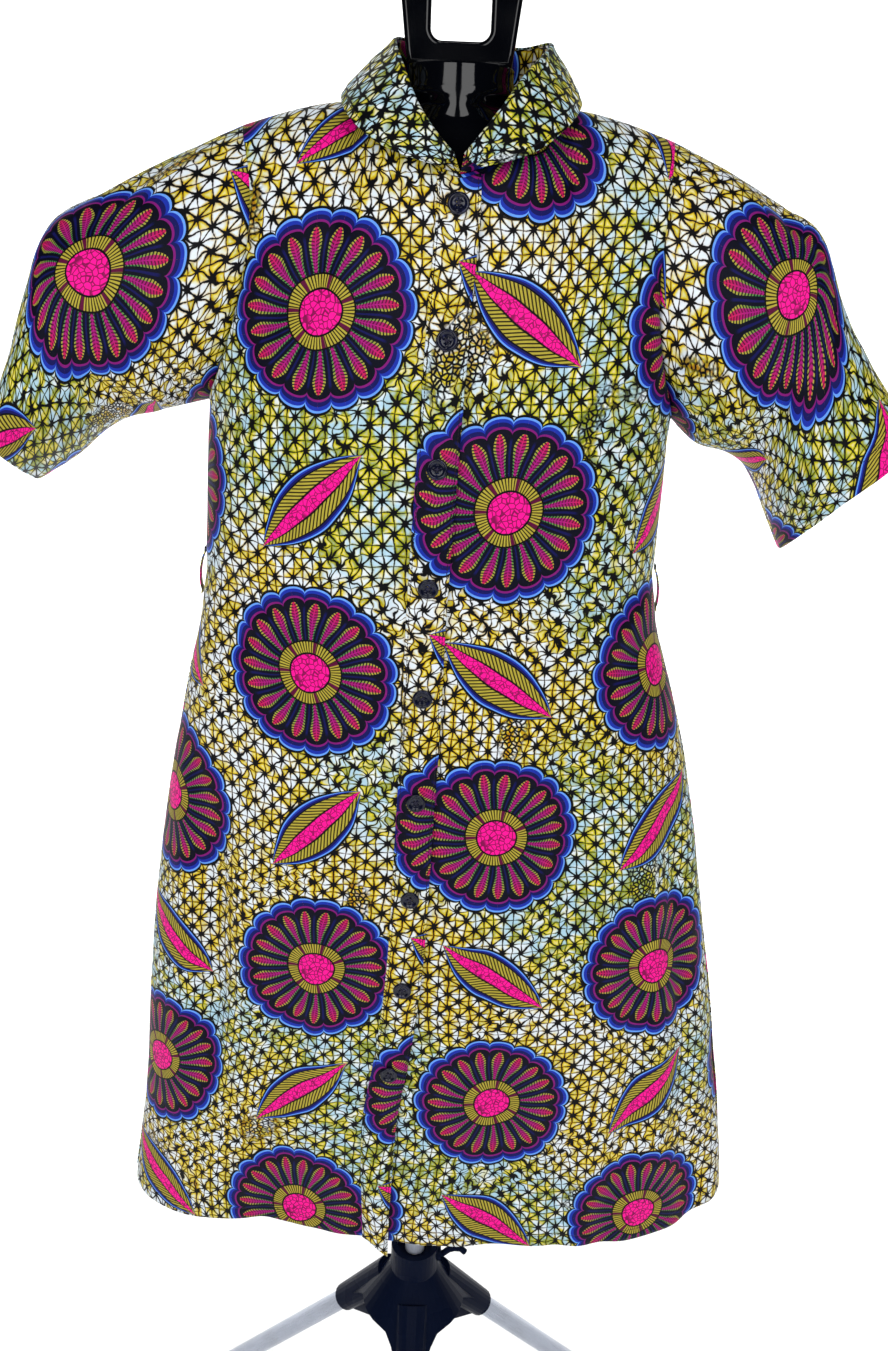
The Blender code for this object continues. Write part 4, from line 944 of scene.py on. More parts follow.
def dahlia(g, inputs):
    """A round flower: gold-lined ring, feathered petals and a scalloped edge in coloured bands."""
    x, y = g.split(g.wobble(inputs["Vector"], 0.030, 0.0035))
    radius = inputs["Radius"]
    far = g.over(g.length(x, y), radius)
    turn = g.plus(g.times(g.math("ARCTAN2", y, x), 1 / (2 * math.pi)), 0.5)
    sway = g.times(g.minus(far, 0.5), 0.16)
    around = g.times(g.plus(turn, g.times(sway, 0.1)), PETALS)
    aside = g.times(g.math("PINGPONG", around, 0.5), 2.0)
    bulge = g.math("SQRT", g.most(g.minus(1.0, g.times(aside, aside)), 0.0))
    edge = g.over(far, g.plus(0.915, g.times(bulge, 0.085)))
    bands = g.ramp(edge, (
        (0.0, NAVY), (0.842, PURPLE), (0.864, DEEP_BLUE), (0.912, ROYAL), (0.953, SKY), (0.974, INK),
    ))
    # Petals, wider towards their rounded tips, with slanting feathers and a fringe.
    grow = g.ease(far, 0.36, 0.70, 0.44, 0.66)
    tip = g.math("SQRT", g.most(g.over(g.minus(0.80, far), 0.13), 0.0))
    width = g.times(grow, g.least(tip, 1.0))
    inside = g.over(aside, g.most(width, 0.001))
    slant = g.plus(g.times(far, 30.0), g.times(aside, -1.3))
    hatch = g.ease(g.math("PINGPONG", slant, 0.5), 0.14, 0.28)
    hue = g.mix(g.ease(far, 0.56, 0.80), MAGENTA, CRIMSON)
    body = g.mix(g.times(hatch, 0.80), MAROON, hue)
    body = g.mix(g.fade(inside, 0.05, 0.12), body, hue)
    fringe = g.mix(hatch, TEAL, g.mix(g.ease(far, 0.42, 0.78), GREEN, GOLD))
    feather = g.mix(g.ease(inside, 0.60, 0.66), body, fringe)
    petal = g.times(g.fade(inside, 0.97, 1.03), g.ease(far, 0.365, 0.372))
    between = g.times(g.ease(aside, 0.84, 0.94), g.fade(far, 0.70, 0.76))
    field = g.mix(g.times(between, 0.8), bands, DEEP_BLUE)
    colour = g.mix(petal, field, feather)
    # The lined ring with its seven bars, then the netted heart.
    ray = g.ease(g.math("PINGPONG", g.times(turn, 60.0), 0.5), 0.16, 0.26)
    bar = g.fade(g.math("PINGPONG", g.times(turn, 7.0), 0.5), 0.06, 0.08)
    ring = g.mix(bar, g.mix(ray, BRONZE, GOLD), MAROON)
    colour = g.mix(g.fade(far, 0.365, 0.372), colour, INK)
    colour = g.mix(g.fade(far, 0.347, 0.353), colour, ring)
    colour = g.mix(g.fade(far, 0.232, 0.238), colour, INK)
    marks = g.fade(g.cracks(inputs["Vector"], 210.0), 0.05, 0.11)
    heart = g.mix(g.times(marks, 0.85), PINK, MAROON)
    colour = g.mix(g.fade(far, 0.212, 0.218), colour, heart)
    return {"Color": colour, "Mask": g.fade(edge, 1.0, 1.012)}


def leaf(g, inputs):
    """A pointed leaf with a pink midrib and slanting gold veins."""
    x, y = g.split(g.wobble(inputs["Vector"], 0.030, 0.0025))
    half = g.times(inputs["Length"], 0.5)
    along = g.over(x, half)
    across = g.math("ABSOLUTE", y)
    taper = g.minus(1.0, g.times(along, along))
    full = g.times(g.times(half, 0.44), taper)
    edge = g.over(across, g.most(full, 0.0001))
    vein = g.plus(g.times(x, 210.0), g.times(across, 260.0))
    lines = g.ease(g.math("PINGPONG", vein, 0.5), 0.15, 0.27)
    blade = g.mix(lines, BRONZE, GOLD)
    colour = g.mix(g.fade(edge, 0.30, 0.34), blade, INK)
    marks = g.ease(g.cracks(inputs["Vector"], 230.0), 0.04, 0.10, 0.8, 0.0)
    colour = g.mix(g.fade(edge, 0.23, 0.27), colour, g.mix(marks, PINK, MAROON))
    outer = g.ramp(edge, (
        (0.0, GOLD), (0.72, INK), (0.77, DEEP_BLUE), (0.84, ROYAL), (0.90, SKY), (0.95, INK),
    ))
    colour = g.mix(g.ease(edge, 0.715, 0.725), colour, outer)
    within = g.math("GREATER_THAN", taper, 0.0)
    return {"Color": colour, "Mask": g.times(g.fade(edge, 1.02, 1.08), within)}


LEAN_LEFT, LEAN_RIGHT = 0.62, -0.78


def wax_print(g, inputs):
    """Flowers in a half-drop repeat with leaves between them, on the star ground."""
    ground = g.use("star_ground", {
        "Vector": inputs["Vector"], "Across": inputs["Star across"], "Down": inputs["Star down"],
        "Cool": inputs["Cool"],
    })
    u, v = g.split(inputs["Vector"])
    wide, tall = inputs["Repeat across"], inputs["Repeat down"]
    half_w, half_t = g.times(wide, 0.5), g.times(tall, 0.5)
    minus_w, minus_t = g.times(wide, -0.5), g.times(tall, -0.5)
    # Places about the nearest corner (a) and the nearest middle (b) of the repeat.
    ax, ay = g.math("WRAP", u, half_w, minus_w), g.math("WRAP", v, half_t, minus_t)
    bx = g.math("WRAP", g.minus(u, half_w), half_w, minus_w)
    by = g.math("WRAP", g.minus(v, half_t), half_t, minus_t)
    other = g.math("LESS_THAN", g.length(bx, by), g.length(ax, ay))
    flower = g.use("dahlia", {
        "Vector": g.join(g.pick(other, ax, bx), g.pick(other, ay, by)), "Radius": inputs["Flower radius"],
    })
    # Leaves lie half way between, leaning to one side and the other.
    turned = g.math("LESS_THAN", g.length(ax, by), g.length(bx, ay))
    lx, ly = g.pick(turned, bx, ax), g.pick(turned, ay, by)
    lean = g.pick(turned, LEAN_LEFT, LEAN_RIGHT)
    cosine, sine = g.math("COSINE", lean), g.math("SINE", lean)
    along = g.minus(g.times(lx, cosine), g.times(ly, sine))
    across = g.plus(g.times(lx, sine), g.times(ly, cosine))
    sprig = g.use("leaf", {"Vector": g.join(along, across), "Length": inputs["Leaf length"]})
    colour = g.mix(g.times(sprig["Mask"], inputs["Motifs"]), ground["Color"], sprig["Color"])
    colour = g.mix(g.times(flower["Mask"], inputs["Motifs"]), colour, flower["Color"])
    dye = g.noise(g.stretch(inputs["Vector"], 1.0, 0.25), 0.006, 3.0)
    shade = g.plus(0.84, g.times(dye, 0.28))
    return {"Color": g.vector_math("SCALE", colour, shade)}


def plain_weave(g, inputs):
    """Threads over and under one another, with slubs."""
    x, y = g.split(inputs["Vector"])
    turn = g.over(2 * math.pi, inputs["Pitch"])
    warp, weft = g.math("SINE", g.times(x, turn)), g.math("SINE", g.times(y, turn))
    slub = g.noise(g.stretch(inputs["Vector"], 1.0, 0.12), 0.0012, 2.0)
    return {"Height": g.plus(g.times(g.times(warp, weft), 0.4), slub)}


def lockstitch(g, inputs):
    """A row of stitches where the trim map's second number is nought."""
    along, off = g.split(inputs["Vector"])
    dash = g.ease(g.math("PINGPONG", g.over(along, inputs["Pitch"]), 0.5), 0.10, 0.16)
    line = g.fade(g.math("ABSOLUTE", off), 0.00030, 0.00050)
    dent = g.fade(g.math("ABSOLUTE", off), 0.0, 0.0020)
    return {"Mask": g.times(dash, line), "Dent": dent}


def grain(g, inputs):
    """Fine moulded grain with soft large patches."""
    fine = g.put("ShaderNodeTexNoise", {"Vector": inputs["Vector"], "Scale": inputs["Scale"], "Detail": 2.0})
    return {"Height": fine.outputs["Fac"], "Patch": g.noise(inputs["Vector"], 0.05, 1.0)}


# ---- materials -----------------------------------------------------------------------------
def start_material(name, **constants):
    """A Principled material with constants on its shader, and its graph."""
    made = bpy.data.materials.new(name)
    made.use_nodes = True
    shader = made.node_tree.nodes["Principled BSDF"]
    for key, value in constants.items():
        shader.inputs[key.replace("_", " ")].default_value = value
    return made, Graph(made.node_tree), shader


def paint(g, shader, colour, roughness):
    """Feeds the shader's colour and roughness."""
    g.feed(shader.inputs["Base Color"], colour)
    g.feed(shader.inputs["Roughness"], roughness)


def bump(g, shader, height, distance, strength=1.0):
    """Feeds the shader's normal from a height."""
    node = g.put("ShaderNodeBump", {"Height": height, "Distance": distance, "Strength": strength})
    g.feed(shader.inputs["Normal"], node.outputs["Normal"])


THREAD_PITCH = 0.0006
STITCHING = srgb(34, 26, 30)
MARBLING = srgb(24, 28, 58)
DARK_THREAD, PALE_THREAD = srgb(16, 14, 28), srgb(58, 54, 80)
DUST = srgb(120, 118, 116)
DRAWN_METAL, DULL_METAL = srgb(150, 156, 168), srgb(132, 134, 140)


def cotton(name, motifs, cool):
    """Printed cotton that follows the piece's cloth map, with stitches on its trim map."""
    size = bpy.context.scene.dress
    made, g, shader = start_material(name, Specular_IOR_Level=0.14)
    flat = g.put("ShaderNodeUVMap", uv_map="cloth").outputs[0]
    trim = g.put("ShaderNodeUVMap", uv_map="trim").outputs[0]
    printed = g.use("wax_print", {
        "Vector": flat, "Motifs": motifs, "Cool": cool, "Repeat across": size.repeat_across,
        "Repeat down": size.repeat_down, "Flower radius": size.flower_radius,
        "Leaf length": size.leaf_length, "Star across": size.star_across, "Star down": size.star_down,
    })
    stitch = g.use("lockstitch", {"Vector": trim, "Pitch": size.stitch_pitch})
    weave = g.use("plain_weave", {"Vector": flat, "Pitch": THREAD_PITCH})
    tone = g.mix(stitch["Mask"], printed["Color"], STITCHING)
    paint(g, shader, tone, g.ease(weave["Height"], 0.0, 1.2, 0.50, 0.66))
    pulled = g.minus(g.times(weave["Height"], 0.25), g.times(stitch["Dent"], 2.0))
    bump(g, shader, g.plus(pulled, stitch["Mask"]), 0.00025, 0.7)


def button_material(name):
    """Dark marbled plastic, polished."""
    size = bpy.context.scene.dress
    made, g, shader = start_material(name, Specular_IOR_Level=0.45)
    place = g.place()
    swirl = g.noise(g.wobble(place, 0.006, 0.006), 0.0045, 3.0)
    tone = g.mix(g.ease(swirl, 0.50, 0.75), tuple(size.button_colour) + (1.0,), MARBLING)
    wear = g.use("grain", {"Vector": place, "Scale": 900.0})
    paint(g, shader, tone, g.ease(wear["Height"], 0.3, 0.7, 0.10, 0.20))


def thread_material(name):
    """Twisted sewing thread."""
    made, g, shader = start_material(name, Roughness=0.8)
    place = g.place()
    twist = g.use("grain", {"Vector": place, "Scale": 2400.0})
    g.feed(shader.inputs["Base Color"], g.mix(twist["Height"], DARK_THREAD, PALE_THREAD))
    bump(g, shader, twist["Height"], 0.0001)


def plastic_material(name, colour, low, high, scale, depth, dusty=0.03, shine=0.25):
    """Moulded plastic: its grain, its gloss uneven from low to high roughness, and a little dust."""
    made, g, shader = start_material(name, Specular_IOR_Level=shine)
    place = g.place()
    skin = g.use("grain", {"Vector": place, "Scale": scale})
    dust = g.times(g.ease(skin["Patch"], 0.45, 0.8), dusty)
    paint(g, shader, g.mix(dust, colour, DUST), g.ease(skin["Patch"], 0.3, 0.7, low, high))
    bump(g, shader, skin["Height"], depth, 0.5)


def metal_material(name, direction, bright=1.0, metallic=1.0, rough=0.22):
    """Satin tube, finely drawn along its own direction."""
    size = bpy.context.scene.dress
    made, g, shader = start_material(name, Metallic=metallic)
    place = g.place()
    turn = Vector(direction).to_track_quat("Z", "Y").inverted().to_euler()
    mapped = g.put("ShaderNodeMapping", {"Vector": place, "Rotation": tuple(turn)}).outputs[0]
    drawn = g.noise(g.stretch(mapped, 1.0, 1.0, 0.03), 0.0008, 2.0)
    patch = g.noise(place, 0.06, 1.0)
    # A bright above 1 lightens the tube's own colour; the pole's copy uses it as painted light.
    clean = tuple(min(1.0, part * bright) for part in size.metal_colour) + (1.0,)
    tone = g.mix(g.times(drawn, 0.6), clean, DRAWN_METAL)
    tone = g.mix(g.ease(patch, 0.5, 0.8, 0.0, 0.25), tone, DULL_METAL)
    paint(g, shader, tone, g.ease(drawn, 0.2, 0.8, rough, rough + 0.18))
    bump(g, shader, drawn, 0.00004, 0.4)
    return made


def build_groups():
    """Makes the groups, each after those that it uses."""
    make_group(star_ground, {"Across": 0.015, "Down": 0.017, "Cool": 0.0}, ("Color",))
    make_group(dahlia, {"Radius": 0.08}, ("Color", "Mask"))
    make_group(leaf, {"Length": 0.1}, ("Color", "Mask"))
    make_group(wax_print, {
        "Motifs": 1.0, "Cool": 0.0, "Repeat across": 0.34, "Repeat down": 0.31, "Flower radius": 0.08,
        "Leaf length": 0.1, "Star across": 0.015, "Star down": 0.017,
    }, ("Color",))
    make_group(plain_weave, {"Pitch": THREAD_PITCH}, ("Height",))
    make_group(lockstitch, {"Pitch": 0.003}, ("Mask", "Dent"))
    make_group(grain, {"Scale": 500.0}, ("Height", "Patch"))


MAKERS = {
    "printed_cotton": lambda name: cotton(name, motifs=1.0, cool=0.0),
    "ground_cotton": lambda name: cotton(name, motifs=0.0, cool=1.0),
    "navy_button": button_material,
    "navy_thread": thread_material,
    "gloss_form": lambda name: plastic_material(
        name, srgb(4, 5, 9), low=0.05, high=0.10, scale=700.0, depth=0.00002, dusty=0.004, shine=0.45,
    ),
    "satin_hub": lambda name: plastic_material(
        name, srgb(10, 17, 36), low=0.24, high=0.36, scale=1400.0, depth=0.00005, dusty=0.004, shine=0.03,
    ),
    "foot_rubber": lambda name: plastic_material(
        name, srgb(24, 24, 25), low=0.70, high=0.85, scale=900.0, depth=0.0001,
    ),
}


def look(name):
    """The material of that name, made on first use."""
    if name not in bpy.data.materials:
        if "wax_print" not in bpy.data.node_groups:
            build_groups()
        MAKERS[name](name)
    return bpy.data.materials[name]


# ---- the pieces ----------------------------------------------------------------------------
UPPER_STEPS = 58
SKIRT_STEPS = 196
FRONT_STEPS = 78
BACK_STEPS = 62
BAND_STEPS = 12
# The collar's print is drawn in finer along it and longer down it than the rest.
COLLAR_GRAIN = (1.12, 0.78)
PRINT_SHIFT = {
    "front": (0.105, 0.165), "back": (0.020, 0.060), "sleeve_right": (-0.115, 0.125),
    "sleeve_left": (0.115, 0.120), "collar_fall": (0.0, 0.0), "collar_stand": (0.03, 0.02),
    "button_band": (0.135, 0.100),
    "belt_loop": (0.02, 0.20),
}


def body_heights():
    """Heights of the rows of the fronts and the back."""
    upper = np.linspace(0, 1, UPPER_STEPS + 1)
    return np.concatenate((upper, np.linspace(1, 2, SKIRT_STEPS + 1)[1:]))


def body_grid(face, side, shares, heights, lap=None):
    """Points, outward directions and shares of one face and side, rumpled as the cloth hangs."""
    points, normals, places = [], [], []
    for height in heights:
        share = shares(height)
        row = body_row(face, side, share, height)
        out = body_normals(face, side, share, height)
        if lap is not None:
            row = row - out * lap(row[:, 0], height)[:, None]
        points.append(row)
        normals.append(out)
        places.append(share)
    points, normals, places = (np.array(values) for values in (points, normals, places))
    return points + normals * drape(face, points, places)[..., None], normals, places


# Along a row of the body the print counts this much of the rise and fall of the cloth.
ROW_DROP_SHARE = 0.35
HEM_STITCH = 0.014
CUFF_STITCH = 0.024


def body_maps(points, places, side, shift, face):
    """Cloth map from the centre line outwards, and trim map up from the hem's stitching."""
    along = running(points * np.array([1.0, 1.0, ROW_DROP_SHARE]))
    zero = np.array([np.interp(0.0, share, row) for share, row in zip(places, along)])
    u = (along - zero[:, None]) * side
    v = -points[..., 2]
    hem = hem_drop(face, side if face < 0 else -side, np.abs(places)) - points[..., 2] - HEM_STITCH
    return np.stack([u + shift[0], v + shift[1]], -1), np.stack([u, hem], -1)


# The free front edge's point: where it starts, over what length it grows, and how far it goes.
POINT_TOP = 0.980
POINT_LENGTH = 0.145
POINT_ASIDE = 0.007
POINT_OUT = 0.007
POINT_DOWN = 0.017


def edge_curl(points):
    """The free front edge hangs in a small point below the last button."""
    middle = BAND_LINE.read("centre_x", points[..., 2])
    reach = np.clip(((points[..., 0] - middle) / (BAND_WIDTH / 2) + 1) / 2, 0.0, 1.0)
    low = smooth((points[..., 2] - POINT_TOP) / POINT_LENGTH)
    moved = points.copy()
    moved[..., 0] -= POINT_ASIDE * low * reach**1.3
    moved[..., 1] -= POINT_OUT * low * np.sin(math.pi * reach * 0.75)
    moved[..., 2] += POINT_DOWN * low**3 * reach**1.6
    return moved


def front_lap(x, height):
    """How far the under front lies behind the band, at x."""
    reach = band_centre(height) + BAND_WIDTH / 2
    return LAP_DEPTH * (1 - smooth((x - reach) / LAP_FADE))


def make_fronts():
    """The two fronts, the left one under the button band."""
    def right(height):
        first = -front_share(height, band_centre(height) + BAND_WIDTH / 2)
        return np.linspace(first, 1.0, FRONT_STEPS + 1)

    def left(height):
        first = front_share(height, band_centre(height) - UNDERLAP / 2)
        return np.linspace(first, 1.0, FRONT_STEPS + 1)

    heights = body_heights()
    for node, side, shares, lap in (("front_right", -1, right, None), ("front_left", 1, left, front_lap)):
        points, normals, places = body_grid(-1, side, shares, heights, lap)
        uv, trim = body_maps(points, places, side, PRINT_SHIFT["front"], -1)
        if side < 0:
            points = edge_curl(points)
        declare(sew(node, points, normals, uv, trim), node, points)


def make_back():
    """The back, of two halves joined along the middle."""
    def whole(height):
        return np.linspace(0.0, 1.0, BACK_STEPS + 1)

    halves = []
    for side in (-1, 1):
        points, normals, places = body_grid(1, side, whole, body_heights())
        uv, trim = body_maps(points, places, -side, PRINT_SHIFT["back"], 1)
        halves.append((points, normals, uv, trim))
    right, left = halves
    points, normals, uv, trim = (
        np.concatenate((first[:, :0:-1], second), axis=1) for first, second in zip(right, left)
    )
    declare(sew("back", points, normals, uv, trim), "back", points)


def grid_normals(points):
    """Directions out of a grid of points, by its own neighbours."""
    return unit(np.cross(np.gradient(points, axis=1), np.gradient(points, axis=0)))


# The sleeves' random swell: its depth, its scale and its seed, and the wave of the cuff.
SLEEVE_SWELLS = ((0.0012, 16, 2.2), (0.0006, 44, 5.7))
CUFF_WAVE, CUFF_REACH = 0.0014, 0.03
SLEEVE_FADE = 0.022
UNDERARM_DENT, UNDERARM_REACH = 0.0007, 0.0025
# Down a sleeve the print follows the mean length, and this much of each line's own.
OWN_LENGTH_SHARE = 0.10


def make_sleeve(node, side, table):
    """A sleeve from its armhole to its cuff, with its seam under the arm."""
    ways = np.linspace(0.0, 1.0, 61)
    turns = np.linspace(-0.5, 0.5, 121)
    points = np.array([sleeve_row(table, way, turns) for way in ways])
    points[..., 0] *= side
    normals = grid_normals(points)
    middle = points.mean(axis=1, keepdims=True)
    if np.sum(normals * (points - middle)) < 0:
        normals = -normals
    normals[:, 0] = normals[:, -1] = unit(normals[:, 0] + normals[:, -1])
    around = running(points)
    girth = around[:, -1:]
    length = float(running_down(points)[-1].mean())
    down = np.repeat(ways[:, None], len(turns), axis=1) * length
    wide = np.repeat(turns[None], len(ways), axis=0)
    out = np.zeros(down.shape)
    for row in SLEEVE_CREASES.rows:
        if row[0] == side:
            for wrap in (-1.0, 0.0):
                out -= crease_depth(wide - wrap - 1.0, down / length, row[1:], (float(girth.mean()), length))
    fade = smooth(down / SLEEVE_FADE)
    for depth, scale, seed in SLEEVE_SWELLS:
        out += depth * rumple(points, (scale, scale, scale), seed * side)
    out += CUFF_WAVE * hump(length - down, CUFF_REACH) * rumple(points, (28, 28, 10), 9.1 * side)
    out *= fade
    out -= UNDERARM_DENT * hump((0.5 - np.abs(wide)) * girth, UNDERARM_REACH) * fade
    points = points + normals * out[..., None]
    points[:, -1] = points[:, 0]
    shift = PRINT_SHIFT[node]
    run = OWN_LENGTH_SHARE * running_down(points) + (1 - OWN_LENGTH_SHARE) * down
    uv = np.stack([wide * girth * -side + shift[0], -run + shift[1]], -1)
    trim = np.stack([wide * girth, length - down - CUFF_STITCH], -1)
    made = sew(node, points, normals, uv, trim, closed=True)
    declare(made, node, points)


# Where the fall's sections lie between its bend and its edge.
FALL_PARTS = (0.3, 0.55, 0.78, 1.0)
COLLAR_STEPS = 56
COLLAR_STITCH = 0.0055
# The fall's random swell, and the low ridge inside its stitching.
FALL_SWELL = 0.0010
FALL_RIDGE, RIDGE_FROM_EDGE, RIDGE_REACH = 0.0007, 0.0085, 0.004


def collar_sections(side, ways):
    """Rows of the stand and of the fall on one side, inner edge first."""
    outward = collar_outward(side, ways)
    outward[0, 0] = 0.0
    top = collar_point("fold", side, ways)
    top[:, 2] += CAD_WALL + COLLAR_GAP
    low = []
    for way in ways:
        face = 1 if way <= 0.5 else -1
        share = np.array([way * NECK_SHARE * 2 if way <= 0.5 else (1 - way) * NECK_SHARE * 2])
        low.append(top_edge(face, share)[0] * np.array([side, 1.0, 1.0]))
    low = np.array(low)
    stand = np.array([top, (low + top) / 2 + outward * 0.001, low])
    up = np.array([0.0, 0.0, -1.0])
    edge = collar_point("edge", side, ways)
    crest = top + outward * ROLL_RISE + up * (CAD_WALL + 1.5 * COLLAR_GAP)
    bend = top + outward * ROLL_REACH - up * ROLL_DROP
    fall = [top - outward * CAD_WALL + up * (CAD_WALL + COLLAR_GAP), crest, bend]
    for part in FALL_PARTS:
        fall.append(bend + (edge - bend) * part + outward * (FALL_SAG * math.sin(math.pi * part)))
    return stand, np.array(fall)


def make_collar():
    """The stand round the neck, and the fall that is folded over it."""
    ways = np.linspace(0.0, 1.0, COLLAR_STEPS + 1)
    both = [collar_sections(side, ways) for side in (-1, 1)]
    for index, (node, rows, grain_line, kind, thickness, rests_on) in enumerate((
        ("collar_stand", 12, (1.0, 1.0), "printed_cotton", 0.0014, "form_shell"),
        ("collar_fall", 34, COLLAR_GRAIN, "ground_cotton", 0.0016, "collar_stand_cloth"),
    )):
        sections = np.concatenate((both[0][index][:, :0:-1], both[1][index]), axis=1)
        steps = np.linalg.norm(np.diff(sections, axis=0), axis=-1).mean(axis=1)
        knots = np.concatenate(([0.0], np.cumsum(steps)))
        points = hermite(knots, sections, np.linspace(0.0, knots[-1], rows))
        normals = grid_normals(points)
        outward = points - np.array([0.0, -0.01, 0.0])
        if np.sum(normals[..., :2] * outward[..., :2]) < 0:
            normals = -normals
        own = running(points)
        own = own - own[:, COLLAR_STEPS:COLLAR_STEPS + 1]
        along = np.repeat(own[rows * 2 // 3][None], rows, axis=0)
        down = np.repeat(np.linspace(0.0, knots[-1], rows)[:, None], points.shape[1], axis=1)
        ends = own.max(axis=1, keepdims=True) - np.abs(own)
        border = np.ones(down.shape)
        if node == "collar_fall":
            border = np.minimum(knots[-1] - down, ends)
            swell = smooth(border / 0.010) * smooth((down - 0.012) / 0.02)
            out = FALL_SWELL * rumple(points, (30, 30, 30), 3.3) * swell
            out += FALL_RIDGE * hump(border - RIDGE_FROM_EDGE, RIDGE_REACH) * swell
            points = points + normals * out[..., None]
        shift = PRINT_SHIFT[node]
        uv = np.stack([along * grain_line[0] + shift[0], -down * grain_line[1] + shift[1]], -1)
        trim = np.stack([along + down, border - COLLAR_STITCH], -1)
        made = sew(node, points, normals, uv, trim, kind, thickness=thickness)
        declare(made, node, points)


# The band starts a little below the neck edge.
BAND_TOP = 0.06
BAND_UPPER_ROWS = 54
BAND_CROWN, BAND_CROWN_REACH = 0.0004, 0.004
BAND_STITCH = 0.0025


def band_grid():
    """Points and outward directions of the button band's outer face."""
    upper = np.linspace(BAND_TOP, 1, BAND_UPPER_ROWS)
    heights = np.concatenate((upper, np.linspace(1, 2, SKIRT_STEPS + 1)[1:]))

    def across(height):
        middle = band_centre(height)
        ways = np.linspace(1.0, -1.0, BAND_STEPS + 1)
        return np.array([-front_share(height, middle + BAND_WIDTH / 2 * way) for way in ways])

    points, normals, places = body_grid(-1, -1, across, heights)
    points = edge_curl(points)
    return points + normals * (BAND_WALL + SEAM), normals


def make_band():
    """The button band, a little crowned between its two rows of stitching."""
    points, normals = band_grid()
    along = running_down(points)
    wide = running(points)
    edge = np.minimum(wide, wide[:, -1:] - wide)
    crown = smooth(edge / BAND_CROWN_REACH) * BAND_CROWN
    points = points + normals * crown[..., None]
    shift = PRINT_SHIFT["button_band"]
    uv = np.stack([-wide + shift[0], -along + shift[1]], -1)
    trim = np.stack([along, edge - BAND_STITCH], -1)
    made = sew("button_band", points, normals, uv, trim, thickness=0.0011)
    declare(made, "button_band", points)


# A belt loop: the drop of its middle, its length and width, how far its ends and its free middle
# stand out from the side seam, the sewn share at each end, and its crown.
LOOP_DROP = 0.412
LOOP_LENGTH = 0.046
LOOP_WIDTH = 0.009
LOOP_STAND = 0.0030
LOOP_BOW = 0.0034
LOOP_SEWN = 0.12
LOOP_CROWN = 0.0003
LOOP_STITCH = 0.0012


def make_belt_loops():
    """A narrow loop over each side seam at the waist."""
    for node, side in (("belt_loop_right", -1), ("belt_loop_left", 1)):
        rows = []
        for part in np.linspace(0.0, 1.0, 41):
            drop = LOOP_DROP + (part - 0.5) * LOOP_LENGTH
            width = float(RINGS.read("half_width", drop))
            free = min(max((part - LOOP_SEWN) / (1 - 2 * LOOP_SEWN), 0.0), 1.0)
            x = side * (width + LOOP_STAND + LOOP_BOW * math.sin(math.pi * free) ** 0.6)
            y = np.linspace(-LOOP_WIDTH / 2, LOOP_WIDTH / 2, 9)
            crown = LOOP_CROWN * np.sin(math.pi * np.arange(9) / 8)
            rows.append(np.stack([x + side * crown, y, np.full(9, drop)], -1))
        points = np.array(rows)
        normals = np.zeros(points.shape)
        normals[..., 0] = side
        across = points[..., 1]
        down = running_down(points)
        shift = PRINT_SHIFT["belt_loop"]
        uv = np.stack([across + shift[0], -down + shift[1]], -1)
        trim = np.stack([down, LOOP_WIDTH / 2 - np.abs(across) - LOOP_STITCH], -1)
        made = sew(node, points, normals, uv, trim)
        declare(made, node, points)


def lathe(profile, segments):
    """A closed turned mesh about Z from its half profile."""
    mesh = bmesh.new()
    verts = [mesh.verts.new((r, 0.0, z)) for r, z in profile]
    edges = [mesh.edges.new(pair) for pair in zip(verts[:-1], verts[1:])]
    bmesh.ops.spin(
        mesh, geom=verts + edges, cent=(0, 0, 0), axis=(0, 0, 1), angle=2 * math.pi, steps=segments,
        use_merge=True,
    )
    bmesh.ops.remove_doubles(mesh, verts=mesh.verts, dist=MERGE)
    bmesh.ops.recalc_face_normals(mesh, faces=mesh.faces)
    return mesh


BUTTON_RADIUS = 0.0090
BUTTON_HEIGHT = 0.0030
# From the middle of a button's face over its rim to its back: shares of its radius and height.
BUTTON_PROFILE = (
    (0.0, 0.50), (0.52, 0.50), (0.60, 0.56), (0.68, 0.84), (0.75, 0.97), (0.82, 1.0), (0.90, 0.96),
    (0.97, 0.80), (1.0, 0.58), (0.985, 0.36), (0.92, 0.12), (0.84, 0.0), (0.0, 0.0),
)
HOLE_FROM_MIDDLE = 0.0019
HOLE_RADIUS_BACK, HOLE_RADIUS_FACE = 0.00075, 0.00085


def button_mesh():
    """A four-hole button, its back at z = 0."""
    profile = [(across * BUTTON_RADIUS, up * BUTTON_HEIGHT) for across, up in BUTTON_PROFILE]
    body = finish("button_blank", lathe(profile, 48), look("navy_button"), 70)
    holes = bmesh.new()
    for turn in range(4):
        angle = math.pi / 4 + turn * math.pi / 2
        aside = (HOLE_FROM_MIDDLE * math.cos(angle), HOLE_FROM_MIDDLE * math.sin(angle), 0.0)
        bmesh.ops.create_cone(
            holes, cap_ends=True, segments=14, radius1=HOLE_RADIUS_BACK, radius2=HOLE_RADIUS_FACE,
            depth=0.02, matrix=Matrix.Translation(aside),
        )
    cutter = finish("button_holes", holes, look("navy_button"))
    cut = body.modifiers.new("Holes", "BOOLEAN")
    cut.operation = "DIFFERENCE"
    cut.solver = "EXACT"
    cut.object = cutter
    done = made_mesh(body)
    bpy.data.objects.remove(body)
    bpy.data.objects.remove(cutter)
    return done


STITCH_LENGTH = 0.0042
THREAD_WIDTH = 0.00036
THREAD_APART = 0.00044
THREAD_HEIGHT = 0.00172
THREAD_ROUND = 0.00012


def round_edges(mesh, edges, offset, segments=2):
    """Bevels edges round."""
    bmesh.ops.bevel(
        mesh, geom=edges, offset=offset, segments=segments, profile=0.5, affect="EDGES", material=-1,
    )


